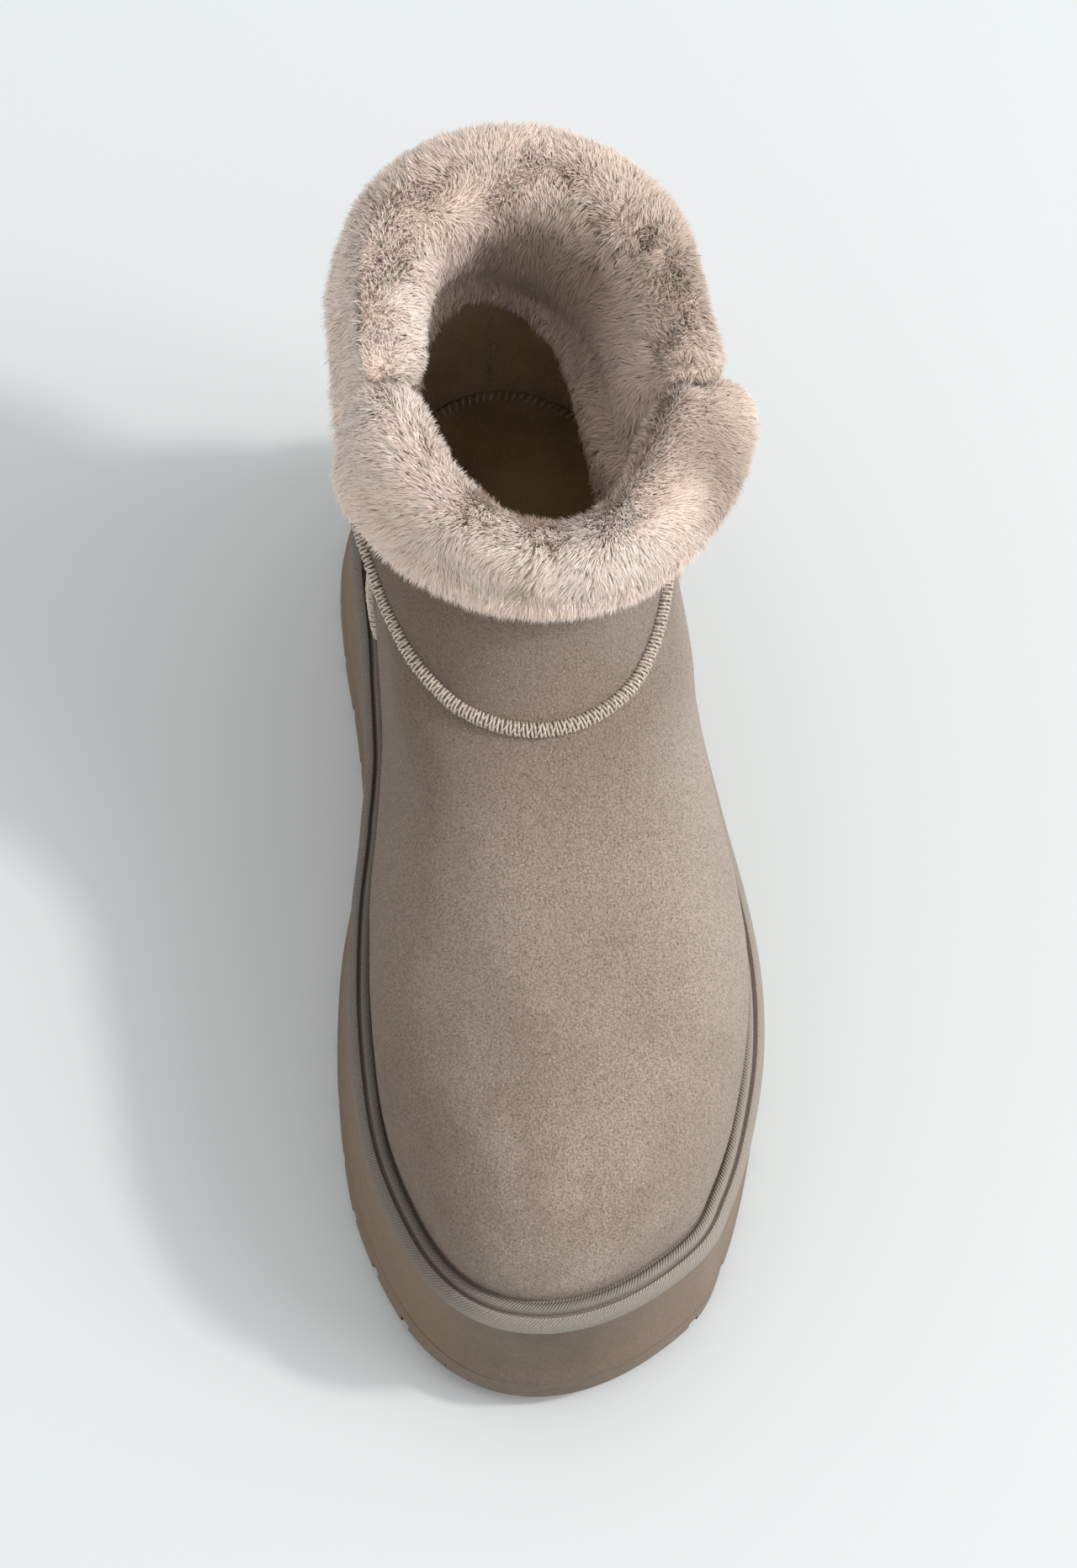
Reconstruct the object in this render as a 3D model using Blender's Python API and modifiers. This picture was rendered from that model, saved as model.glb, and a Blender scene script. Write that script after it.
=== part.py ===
"""Ankle-high sheepskin boot on a platform sole, left foot, standing empty.

Metres, +Z up. The toe points to -Y and the little-toe side is +X. The origin is on the floor,
under the middle of the sole. A place on the upper is given by a turn around it (0 at the toe or
the front, a quarter turn on the little-toe side, half a turn at the heel) and by a rise, its
height above the platform at the front.
"""
import math

import bmesh
import bpy
import numpy as np
from mathutils import Vector

# Last, the foot shape that the upper is made over
LAST_LENGTH = 0.266
BALL_WIDTH = 0.0975
TOE_SWING = 0.0115
INSTEP_HEIGHT = 0.060
SHAFT_HEIGHT = 0.100
BACK_RISE = 0.009
HEEL_BULGE = 0.0025
SIDE_BULGE = 0.045
UPPER_WALL = 0.0025
COLLAR_WIDTH = 0.084
COLLAR_BLUNTNESS = 0.10
COLLAR_BLUNT_POWER = 1.9
COLLAR_SWING = 0.0052
ANKLE_SHIFT = 0.004

# Sole
PLATFORM_HEEL = 0.052
PLATFORM_BALL = 0.0445
PLATFORM_TOE = 0.047
TOE_SPRING = 0.006
HEEL_BEVEL = 0.003
OUTSOLE_THICKNESS = 0.009
OUTSOLE_STEP = 0.0008
LATERAL_FLARE = 0.0010
MEDIAL_FLARE = 0.0030
TOE_FLARE = 0.0045
WAIST_TUCK = 0.0030
WAIST_ALONG = 0.62
WAIST_REACH = 0.13
FLAT_FROM = 0.26
FLAT_TO = 0.93
INSOLE_THICKNESS = 0.004
INSOLE_BEVEL = 0.001

# Welt rim with its two beads, round the foot of the upper
RIM_WIDTH = 0.0066
RIM_DROP = 0.0058
RIM_LIP = 0.0014
RIM_GAP = 0.0007
BEAD_WIDTH = 0.0028
BEAD_HEIGHT = 0.0030
BAND_HEIGHT = 0.0016
GROOVE_DEPTH = 0.0016

# Lugs round the edge of the tread
LUG_PITCH = 0.0165
LUG_GAP = 0.0034
LUG_HEIGHT = 0.0045
LUG_REACH = 0.013
CENTRE_BAR_REACH = 0.052
BARS_FROM = 0.17
BARS_TO = 0.83
CUT_BELOW = 0.010

# Fur cuff, turned over the top of the shaft
FUR_OUT = 0.0115
FUR_IN = 0.0100
FUR_CROWN = 0.0115
FUR_DROP = 0.0200
FRONT_LIFT = 0.75
FRONT_THINNING = 0.25
FUR_LINING_DROP = 0.0340
LINING_LIFT = 0.35
WING_OUT = 0.0048
TUCK_SHARE = 1.5
MEDIAL_WING_SHARE = -0.4
WING_OVERLAP = 0.0060
NOTCH_TURN_LATERAL = math.radians(79)
NOTCH_TURN_MEDIAL = math.radians(86)
NOTCH_GAP = 0.0016
END_FULLNESS = 0.30
END_SHARE = 0.16
LOCK_HEIGHT = 0.0028
LOCK_LEAN = 0.0022

# Raised overlock seams
SEAM_WIDTH = 0.0044
SEAM_HEIGHT = 0.0024
SEAM_SEAT = 0.0004
SEAM_FOOT = 0.0045
SEAM_TUCK = 0.0030
SEAM_STAGGER = 0.0015
INSTEP_SEAM_RISE = 0.0620
INSTEP_SEAM_POWER = 4.0
SIDE_SEAM_FOOT_ALONG = 0.715
SIDE_SEAM_HEAD_ALONG = 0.755

# How far the fur stands out behind the sole, and the last's centre line from the boot's middle
FUR_OVERHANG = 0.0066
MIDDLE_X = 0.0010

# Clearance between pieces that meet, and extra room where two curved ones do
GAP = 0.0003
FACET_ROOM = 0.0005
CUFF_ROOM = GAP + FACET_ROOM / 2
LINING_SIDE = UPPER_WALL + GAP + 1.6 * FACET_ROOM
SEAM_TOP = SHAFT_HEIGHT - FUR_DROP - SEAM_TUCK

# Half widths of the last's sole line, as shares of half the ball width
SOLE_LINE_SHARES = (
    # along, medial, lateral
    (0.05, 0.580, 0.640),
    (0.10, 0.755, 0.790),
    (0.17, 0.912, 0.892),
    (0.25, 0.985, 0.958),
    (0.33, 1.000, 0.970),
    (0.42, 0.955, 0.928),
    (0.51, 0.860, 0.860),
    (0.60, 0.785, 0.806),
    (0.70, 0.758, 0.785),
    (0.80, 0.750, 0.770),
    (0.90, 0.695, 0.705),
    (0.96, 0.520, 0.525),
)
TOE_ROUNDNESS = 1.46
HEEL_ROUNDNESS = 1.34
SWING_SHARE = 0.42

# The upper's outline from the side: heights as shares of the instep and of the shaft above it
CROWN_SHARES = (
    # along, instep share, shaft share
    (0.000, 0.00, 0.0),
    (0.004, 0.14, 0.0),
    (0.020, 0.34, 0.0),
    (0.055, 0.52, 0.0),
    (0.115, 0.655, 0.0),
    (0.210, 0.755, 0.0),
    (0.325, 0.840, 0.0),
    (0.430, 0.930, 0.0),
    (0.480, 0.99, 0.0),
    (0.508, 1.00, 0.11),
    (0.536, 1.00, 0.35),
    (0.563, 1.00, 0.66),
    (0.590, 1.00, 1.00),
    (0.640, 1.00, 1.80),
    (0.740, 1.00, 3.80),
    (1.100, 1.00, 12.00),
)
# How round the sections across the vamp are, and how the shaft's sides lean
CROSS_HEIGHT_POWER = 2.5
CROSS_WIDTH_POWER = 2.15
SHAFT_SIDE_SHARES = (
    # height share of the shaft, width factor, heel set-back, share of the collar's oval, sideways
    (0.00, 1.000, 0.0, 0.00, 0.0),
    (0.18, 1.045, 0.8, 0.00, 0.0),
    (0.35, 1.055, 0.6, 0.06, 0.0),
    (0.55, 1.050, -0.8, 0.34, -0.5),
    (0.75, 1.060, -0.9, 0.86, -0.9),
    (1.00, 1.085, 0.3, 1.00, 0.8),
)

# How finely the pieces are divided
TURNS = 44
SOLE_TURNS = 60
FRONT_CUFF_STEPS = 38
BACK_CUFF_STEPS = 42
INSTEP_SEAM_STEPS = 40
SIDE_SEAM_STEPS = 18
RISES = (
    0, .04, .10, .18, .27, .35, .41, .455, .49, .52, .55, .575, .60, .625, .65, .68, .72, .77, .83, .91, 1,
)

TOE_REACH = RIM_WIDTH + TOE_FLARE + OUTSOLE_STEP
HEEL_REACH = RIM_WIDTH + LATERAL_FLARE + OUTSOLE_STEP - RIM_LIP
TOE_Y = -(LAST_LENGTH + HEEL_REACH - TOE_REACH + FUR_OVERHANG) / 2
HEEL_Y = TOE_Y + LAST_LENGTH


def slopes(xs, ys):
    """Slopes of a curve through the points that never overshoots between them."""
    steps = [(ys[i + 1] - ys[i]) / (xs[i + 1] - xs[i]) for i in range(len(xs) - 1)]
    inner = [
        0.0 if a * b <= 0 else 2 * a * b / (a + b)
        for a, b in zip(steps[:-1], steps[1:])
    ]
    return [steps[0], *inner, steps[-1]]


def smooth(xs, ys, x):
    """The height at x of the smooth curve through the points."""
    x = min(max(x, xs[0]), xs[-1])
    i = min(max(int(np.searchsorted(xs, x)) - 1, 0), len(xs) - 2)
    width = xs[i + 1] - xs[i]
    t = (x - xs[i]) / width
    lean = slopes(xs, ys)
    return (
        ys[i] * (1 + 2 * t) * (1 - t) ** 2
        + ys[i + 1] * t * t * (3 - 2 * t)
        + width * (lean[i] * t * (1 - t) ** 2 - lean[i + 1] * t * t * (1 - t))
    )


def column(table, number):
    return [row[number] for row in table]


def along_of(y):
    return min(max((y - TOE_Y) / LAST_LENGTH, 0.0), 1.0)


def round_share(along):
    """The half width at this share of the length of an oval that is 1 at its middle."""
    return 2 * math.sqrt(max(along * (1 - along), 0.0))


def centre_x(along):
    """The last's centre line swings to the big-toe side at the toe."""
    return MIDDLE_X - TOE_SWING * max(0.0, 1 - along / SWING_SHARE) ** 2


FULLNESS_AT = [0.0, *column(SOLE_LINE_SHARES, 0), 1.0]
FULLNESS = [
    [TOE_ROUNDNESS, *[row[side] / round_share(row[0]) for row in SOLE_LINE_SHARES], HEEL_ROUNDNESS]
    for side in (1, 2)
]


def half_width(along, side):
    """Half width of the sole line, on the little-toe side for side 1 and the big-toe side for -1."""
    fullness = smooth(FULLNESS_AT, FULLNESS[1 if side > 0 else 0], along)
    return BALL_WIDTH / 2 * fullness * round_share(along)


def sole_line(turn, out=0.0):
    """A point of the sole line, and the level direction out of it; out moves the point that way."""
    def base(angle):
        along = (1 - math.cos(angle)) / 2
        side = 1 if math.sin(angle) >= 0 else -1
        x = centre_x(along) + side * half_width(along, side)
        return Vector((x, TOE_Y + along * LAST_LENGTH, 0))

    step = 0.01
    ahead = base(turn + step) - base(turn - step)
    outward = Vector((ahead.y, -ahead.x, 0)).normalized()
    return base(turn) + outward * out, outward


def platform_top(y):
    heights = (PLATFORM_TOE, PLATFORM_BALL, (PLATFORM_BALL + PLATFORM_HEEL) / 2, PLATFORM_HEEL)
    return smooth((0.0, 0.33, 0.66, 1.0), heights, along_of(y))


def floor_clearance(y):
    """How far the tread curves up from the floor at the toe and at the back of the heel."""
    toe = max(0.0, 1 - (y - TOE_Y + TOE_REACH) / (FLAT_FROM * LAST_LENGTH + TOE_REACH))
    heel_room = (1 - FLAT_TO) * LAST_LENGTH + HEEL_REACH
    heel = max(0.0, 1 - (HEEL_Y + HEEL_REACH - y) / heel_room)
    return TOE_SPRING * toe ** 2 + HEEL_BEVEL * heel ** 2


CROWN_AT = column(CROWN_SHARES, 0)
CROWN_HEIGHTS = [
    row[1] * INSTEP_HEIGHT + row[2] * (SHAFT_HEIGHT - INSTEP_HEIGHT) for row in CROWN_SHARES
]
SIDES_AT = column(SHAFT_SIDE_SHARES, 0)
SIDES_WIDTH = column(SHAFT_SIDE_SHARES, 1)
SIDES_BACK = column(SHAFT_SIDE_SHARES, 2)
SIDES_OVAL = column(SHAFT_SIDE_SHARES, 3)
SIDES_SHIFT = column(SHAFT_SIDE_SHARES, 4)


def front_along(rise):
    """Where the upper's outline from the side reaches this height above the platform."""
    low, high = 0.0, CROWN_AT[-1]
    for _ in range(40):
        middle = (low + high) / 2
        if smooth(CROWN_AT, CROWN_HEIGHTS, middle) < rise:
            low = middle
        else:
            high = middle
    return (low + high) / 2


def upper_point(turn, rise):
    """A point on the outside of the upper."""
    share = rise / SHAFT_HEIGHT
    front = front_along(rise)
    back = 1 + HEEL_BULGE * smooth(SIDES_AT, SIDES_BACK, share) / LAST_LENGTH
    forward = (1 - math.cos(turn)) / 2
    along = front + (back - front) * forward
    rise_here = rise + BACK_RISE * share ** 2 * forward ** 1.5
    crown = smooth(CROWN_AT, CROWN_HEIGHTS, along)
    closing = max(0.0, 1 - (min(1.0, rise / max(crown, 1e-9))) ** CROSS_HEIGHT_POWER)
    closing = closing ** (1 / CROSS_WIDTH_POWER)
    side = 1 if math.sin(turn) >= 0 else -1
    on_line = along / back
    swell = 1 + SIDE_BULGE * math.sin(math.pi * min(share * 2, 1.0))
    lean = 1 + (smooth(SIDES_AT, SIDES_WIDTH, share) - 1) * on_line
    width = half_width(min(on_line, 1.0), side) * closing * swell * lean
    oval = smooth(SIDES_AT, SIDES_OVAL, share)
    egg = abs(math.sin(turn)) * (1 + COLLAR_BLUNTNESS * max(0.0, -math.cos(turn)) ** COLLAR_BLUNT_POWER)
    width += oval * (COLLAR_WIDTH / 2 * egg - width)
    middle = centre_x(min(on_line, 1.0)) + ANKLE_SHIFT * smooth(SIDES_AT, SIDES_SHIFT, share)
    middle -= COLLAR_SWING * oval * forward
    y = TOE_Y + along * LAST_LENGTH
    return Vector((middle + side * width, y, platform_top(y) + GAP + rise_here))


def upper_frame(turn, rise):
    """A point on the upper, its outward direction there, and the directions round and up it."""
    low, high = max(rise - 0.001, 0.0), min(rise + 0.001, SHAFT_HEIGHT)
    point = upper_point(turn, rise)
    around = (upper_point(turn + 0.02, rise) - upper_point(turn - 0.02, rise)).normalized()
    up = (upper_point(turn, high) - upper_point(turn, low)).normalized()
    out = around.cross(up).normalized()
    return point, out, around, out.cross(around).normalized()


def clear_scene():
    for thing in list(bpy.data.objects):
        bpy.data.objects.remove(thing)


def new_collection(name):
    made = bpy.data.collections.new(name)
    bpy.context.scene.collection.children.link(made)
    return made


def material(name, colour, roughness, sheen=0.0):
    made = bpy.data.materials.new(name)
    made.use_nodes = True
    shader = made.node_tree.nodes["Principled BSDF"]
    shader.inputs["Base Color"].default_value = (*colour, 1.0)
    shader.inputs["Roughness"].default_value = roughness
    shader.inputs["Metallic"].default_value = 0.0
    shader.inputs["Sheen Weight"].default_value = sheen
    return made


def mesh_object(name, points, faces, finish, collection):
    mesh = bpy.data.meshes.new(name)
    mesh.from_pydata([tuple(p) for p in points], [], faces)
    shape = bmesh.new()
    shape.from_mesh(mesh)
    bmesh.ops.recalc_face_normals(shape, faces=shape.faces)
    shape.to_mesh(mesh)
    shape.free()
    mesh.shade_smooth()
    mesh.set_sharp_from_angle(angle=math.radians(40))
    made = bpy.data.objects.new(name, mesh)
    if finish:
        mesh.materials.append(finish)
    collection.objects.link(made)
    return made


def ring_faces(ring_count, size, closed_rings=True):
    """Quads between each ring of points and the next."""
    last = size if closed_rings else size - 1
    return [
        (r * size + i, r * size + (i + 1) % size, (r + 1) * size + (i + 1) % size, (r + 1) * size + i)
        for r in range(ring_count - 1)
        for i in range(last)
    ]


def ladder_cap(first, size):
    """Faces that close a ring from its left side to its right, rung by rung."""
    half = size // 2
    rungs = [(first + 1, first, first + size - 1)]
    for i in range(1, half - 1):
        rungs.append((first + i + 1, first + i, first + size - i, first + size - i - 1))
    rungs.append((first + half, first + half - 1, first + half + 1))
    return rungs


def sole_ring(outs, height):
    """One level ring round the sole: outs and height are functions of the turn's direction and y."""
    points = []
    for i in range(SOLE_TURNS):
        turn = 2 * math.pi * i / SOLE_TURNS
        outward = sole_line(turn)[1]
        point = sole_line(turn, outs(outward, turn))[0]
        points.append(Vector((point.x, point.y, height(point.y))))
    return points


def slab(name, rings, finish, collection):
    """A closed solid from a stack of rings, bottom ring first."""
    points = [p for ring in rings for p in ring]
    faces = ring_faces(len(rings), SOLE_TURNS)
    faces += ladder_cap(0, SOLE_TURNS)
    faces += ladder_cap((len(rings) - 1) * SOLE_TURNS, SOLE_TURNS)
    return mesh_object(name, points, faces, finish, collection)


def sole_edge(outward, turn):
    """How far the platform's foot stands out of the sole line: most at the toe, least at the waist."""
    toe = max(0.0, -outward.y) ** 2
    side = MEDIAL_FLARE if outward.x < 0 else LATERAL_FLARE
    side = side * outward.x ** 2 + LATERAL_FLARE * (1 - outward.x ** 2)
    along = (1 - math.cos(turn)) / 2
    waist = WAIST_TUCK * math.exp(-((along - WAIST_ALONG) / WAIST_REACH) ** 2)
    return RIM_WIDTH - RIM_LIP + side * (1 - toe) + (TOE_FLARE + RIM_LIP) * toe - waist


def make_outsole(finish, parts, cutters):
    def level(share):
        return lambda y: floor_clearance(y) + OUTSOLE_THICKNESS * share

    rings = [
        sole_ring(lambda o, t: sole_edge(o, t) - OUTSOLE_STEP, level(0.0)),
        sole_ring(lambda o, t: sole_edge(o, t) + OUTSOLE_STEP, level(0.14)),
        sole_ring(lambda o, t: sole_edge(o, t) + OUTSOLE_STEP, level(0.80)),
        sole_ring(sole_edge, level(0.90)),
        sole_ring(sole_edge, level(1.0)),
    ]
    outsole = slab("outsole", rings, finish, parts)
    cut_away(outsole, tread_cutter(cutters))
    return outsole


def box_corners(centre, along, across, reach, width, bottom, top):
    return [
        Vector((*(centre + along * (reach * a) + across * (width * b)).xy, z))
        for z in (bottom, top)
        for a, b in ((-0.5, -0.5), (0.5, -0.5), (0.5, 0.5), (-0.5, 0.5))
    ]


BOX_FACES = ((0, 3, 2, 1), (4, 5, 6, 7), (0, 1, 5, 4), (1, 2, 6, 5), (2, 3, 7, 6), (3, 0, 4, 7))


def sole_length_steps(pitch):
    """Turns that divide the edge of the sole into equal lugs, with none cut at the toe tip."""
    samples = 720
    points = [sole_line(2 * math.pi * i / samples, RIM_WIDTH)[0] for i in range(samples + 1)]
    lengths = np.cumsum([0.0] + [(b - a).length for a, b in zip(points[:-1], points[1:])])
    count = round(float(lengths[-1]) / pitch)
    targets = [(i + 0.5) * lengths[-1] / count for i in range(count)]
    return [2 * math.pi * float(np.interp(t, lengths, np.arange(samples + 1))) / samples for t in targets]


def tread_cutter(cutters):
    """The grooves between the lugs, and the bars across the tread, as one cutter."""
    points, faces = [], []

    def add(centre, along, across, reach, width):
        floor = floor_clearance(centre.y)
        corners = box_corners(centre, along, across, reach, width, floor - CUT_BELOW, floor + LUG_HEIGHT)
        start = len(points)
        points.extend(corners)
        faces.extend(tuple(start + i for i in face) for face in BOX_FACES)

    for turn in sole_length_steps(LUG_PITCH):
        point, outward = sole_line(turn, RIM_WIDTH + TOE_FLARE)
        ahead = Vector((-outward.y, outward.x, 0))
        add(point - outward * (LUG_REACH / 2), outward, ahead, LUG_REACH + TOE_FLARE, LUG_GAP)
    bars = int((BARS_TO - BARS_FROM) * LAST_LENGTH / (2 * LUG_PITCH))
    for i in range(bars):
        along = BARS_FROM + (BARS_TO - BARS_FROM) * i / (bars - 1)
        centre = Vector((centre_x(along), TOE_Y + along * LAST_LENGTH, 0))
        reach = CENTRE_BAR_REACH * half_width(along, -1) / (BALL_WIDTH / 2)
        add(centre, Vector((1, 0, 0)), Vector((0, 1, 0)), reach, LUG_GAP)
    cutter = mesh_object("tread_grooves", points, faces, None, cutters)
    cutter.hide_render = True
    cutter.display_type = "WIRE"
    return cutter


def cut_away(target, cutter):
    modifier = target.modifiers.new("cut", "BOOLEAN")
    modifier.operation = "DIFFERENCE"
    modifier.object = cutter
    return modifier


def make_midsole(finish, parts):
    def foot(lift):
        return lambda y: floor_clearance(y) + OUTSOLE_THICKNESS + GAP + lift

    def under_rim(y):
        return platform_top(y) - RIM_DROP - GAP

    def between(share):
        return lambda y: foot(0)(y) * (1 - share) + under_rim(y) * share

    def wall(share):
        tucked = RIM_WIDTH - RIM_LIP
        return lambda o, t: sole_edge(o, t) * (1 - share) + tucked * share

    rings = [
        sole_ring(sole_edge, foot(0)),
        sole_ring(wall(0.55), between(0.30)),
        sole_ring(wall(0.85), between(0.65)),
        sole_ring(wall(1.0), under_rim),
        sole_ring(lambda o, t: 0.0, under_rim),
        sole_ring(lambda o, t: 0.0, platform_top),
    ]
    return slab("midsole", rings, finish, parts)


def rim_section():
    """The rim's section, as outward distance and height over the platform's top."""
    half = BEAD_WIDTH / 2
    bead = [
        (RIM_GAP + half - half * math.cos(a), BEAD_HEIGHT - half + half * math.sin(a))
        for a in (0, math.pi / 4, math.pi / 2, 3 * math.pi / 4)
    ]
    groove = RIM_GAP + BEAD_WIDTH
    return [
        (RIM_GAP, GAP - RIM_DROP),
        *bead,
        (groove, BEAD_HEIGHT - half - GROOVE_DEPTH),
        (groove + 0.10 * RIM_WIDTH, BAND_HEIGHT),
        (groove + 0.26 * RIM_WIDTH, BAND_HEIGHT * 0.85),
        (RIM_WIDTH, BAND_HEIGHT - 0.40 * RIM_DROP),
        (RIM_WIDTH, -0.82 * RIM_DROP),
        (RIM_WIDTH - RIM_LIP / 2, GAP - RIM_DROP),
    ]


def make_rim(finish, parts):
    section = rim_section()
    points, size = [], len(section)
    for i in range(SOLE_TURNS):
        turn = 2 * math.pi * i / SOLE_TURNS
        for out, height in section:
            point = sole_line(turn, out)[0]
            points.append(Vector((point.x, point.y, platform_top(point.y) + height)))
    faces = ring_faces(SOLE_TURNS, size)
    last = (SOLE_TURNS - 1) * size
    faces += [(last + i, last + (i + 1) % size, (i + 1) % size, i) for i in range(size)]
    return mesh_object("welt_rim", points, faces, finish, parts)


def make_insole(finish, parts):
    def inside(o, t):
        return -UPPER_WALL - GAP - FACET_ROOM

    def level(share):
        return lambda y: platform_top(y) + GAP + INSOLE_THICKNESS * share

    rings = [
        sole_ring(inside, level(0.0)),
        sole_ring(inside, level(0.8)),
        sole_ring(lambda o, t: inside(o, t) - INSOLE_BEVEL, level(1.0)),
    ]
    return slab("insole", rings, finish, parts)


def make_upper(finish, parts):
    """An open skin round the last, with the wall's thickness inwards."""
    points = [
        upper_point(2 * math.pi * i / TURNS, SHAFT_HEIGHT * share)
        for share in RISES
        for i in range(TURNS)
    ]
    upper = mesh_object("upper", points, ring_faces(len(RISES), TURNS), finish, parts)
    facing = upper.data.polygons[TURNS // 4]
    if facing.normal.x < 0:
        upper.data.flip_normals()
    wall = upper.modifiers.new("wall", "SOLIDIFY")
    wall.thickness = UPPER_WALL
    wall.offset = -1
    wall.use_even_offset = True
    return upper


def on_upper(turn, rise, across, sideways, height):
    """A point a little to the side of a place on the upper, and above its surface there."""
    by_turn = (upper_point(turn + 0.02, rise) - upper_point(turn - 0.02, rise)) / 0.04
    by_rise = (upper_point(turn, rise + 0.0005) - upper_point(turn, rise - 0.0005)) / 0.001
    tt, rr, tr = by_turn.dot(by_turn), by_rise.dot(by_rise), by_turn.dot(by_rise)
    at, ar = across.dot(by_turn), across.dot(by_rise)
    room = tt * rr - tr * tr
    turn += sideways * (at * rr - ar * tr) / room
    rise += sideways * (ar * tt - at * tr) / room
    point, out, _, _ = upper_frame(turn, rise)
    return point + out * height


def seam_roll(name, stations, finish, parts):
    """A raised seam lying on the upper, through (turn, rise) stations."""
    section = ((-0.5, 0.0), (-0.42, 0.62), (0.0, 1.0), (0.42, 0.62), (0.5, 0.0), (0.0, 0.0))
    places = [upper_frame(turn, rise) for turn, rise in stations]
    points = []
    for i, (turn, rise) in enumerate(stations):
        before = places[max(i - 1, 0)][0]
        after = places[min(i + 1, len(places) - 1)][0]
        across = places[i][1].cross(after - before).normalized()
        for sideways, height in section:
            lift = SEAM_SEAT + height * SEAM_HEIGHT
            points.append(on_upper(turn, rise, across, sideways * SEAM_WIDTH, lift))
    size = len(section)
    faces = ring_faces(len(stations), size)
    faces += [tuple(range(size)), tuple(range(len(points) - size, len(points)))]
    return mesh_object(name, points, faces, finish, parts)


def side_seam_place(share, side):
    """Where a side seam is, from the sole line (share 0) to the cuff (share 1)."""
    rise = SEAM_FOOT + (SEAM_TOP - SEAM_FOOT) * share
    along = SIDE_SEAM_FOOT_ALONG + (SIDE_SEAM_HEAD_ALONG - SIDE_SEAM_FOOT_ALONG) * share
    front = front_along(rise)
    turn = math.acos(1 - 2 * (along - front) / (1 - front))
    return side * turn, rise


def make_seams(finish, parts):
    for side, name in ((1, "side_seam_lateral"), (-1, "side_seam_medial")):
        stations = [side_seam_place(i / SIDE_SEAM_STEPS, side) for i in range(SIDE_SEAM_STEPS + 1)]
        seam_roll(name, stations, finish, parts)
    top = SEAM_TOP - SEAM_STAGGER
    reach = side_seam_place(1.0, 1)[0] - 1.35 * SEAM_WIDTH / (COLLAR_WIDTH / 2)
    stations = []
    for i in range(INSTEP_SEAM_STEPS + 1):
        share = 2 * i / INSTEP_SEAM_STEPS - 1
        rise = INSTEP_SEAM_RISE + (top - INSTEP_SEAM_RISE) * abs(share) ** INSTEP_SEAM_POWER
        stations.append((share * reach, rise))
    seam_roll("instep_seam", stations, finish, parts)


def cuff_section(drop, lining):
    """The fur's section over the top of the shaft: outward distance, height, and if a lock grows there."""
    wall_side = -LINING_SIDE
    return (
        (CUFF_ROOM, -0.92 * drop, 0),
        (0.42 * FUR_OUT, -drop, 1),
        (0.80 * FUR_OUT, -0.88 * drop, 1),
        (0.98 * FUR_OUT, -0.60 * drop, 1),
        (1.00 * FUR_OUT, -0.28 * drop, 1),
        (0.95 * FUR_OUT, 0.12 * FUR_CROWN, 1),
        (0.76 * FUR_OUT, 0.58 * FUR_CROWN, 1),
        (0.42 * FUR_OUT, 0.90 * FUR_CROWN, 1),
        (0.02 * FUR_OUT, 1.00 * FUR_CROWN, 1),
        (wall_side - 0.35 * FUR_IN, 0.86 * FUR_CROWN, 1),
        (wall_side - 0.78 * FUR_IN, 0.46 * FUR_CROWN, 1),
        (wall_side - 1.00 * FUR_IN, -0.14 * lining, 1),
        (wall_side - 0.88 * FUR_IN, -0.42 * lining, 1),
        (wall_side - 0.60 * FUR_IN, -0.68 * lining, 0),
        (wall_side - 0.38 * FUR_IN, -0.97 * lining, 0),
        (wall_side, -lining, 0),
        (wall_side, -0.66 * lining, 0),
        (wall_side, -0.33 * lining, 0),
        (wall_side, GAP, 0),
        (CUFF_ROOM, GAP, 0),
        (CUFF_ROOM, -0.30 * drop, 0),
        (CUFF_ROOM, -0.62 * drop, 0),
    )


def cuff_point(turn, out, height, lap):
    """A point out of and over the shaft's top edge; below it, it follows the shaft's side."""
    turn += lap * min(max(out / FUR_OUT, 0.0), 1.2)
    if out > CUFF_ROOM:
        out = CUFF_ROOM + (out - CUFF_ROOM) * (1 - FRONT_THINNING * max(0.0, math.cos(turn)))
    point, outward, _, _ = upper_frame(turn, SHAFT_HEIGHT + min(height, 0.0))
    level = Vector((outward.x, outward.y, 0)).normalized()
    close = min(max(out, -LINING_SIDE), CUFF_ROOM)
    return point + outward * close + level * (out - close) + Vector((0, 0, max(height, 0.0)))


def lock_size(i, j):
    """Locks of uneven size: every other point stands out and its neighbours stand back."""
    size = 0.62 + 0.24 * math.sin(1.9 * i + 0.8 * j) + 0.14 * math.sin(0.7 * i - 2.3 * j)
    return size if (i + j) % 2 else -0.45 * size


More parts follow.
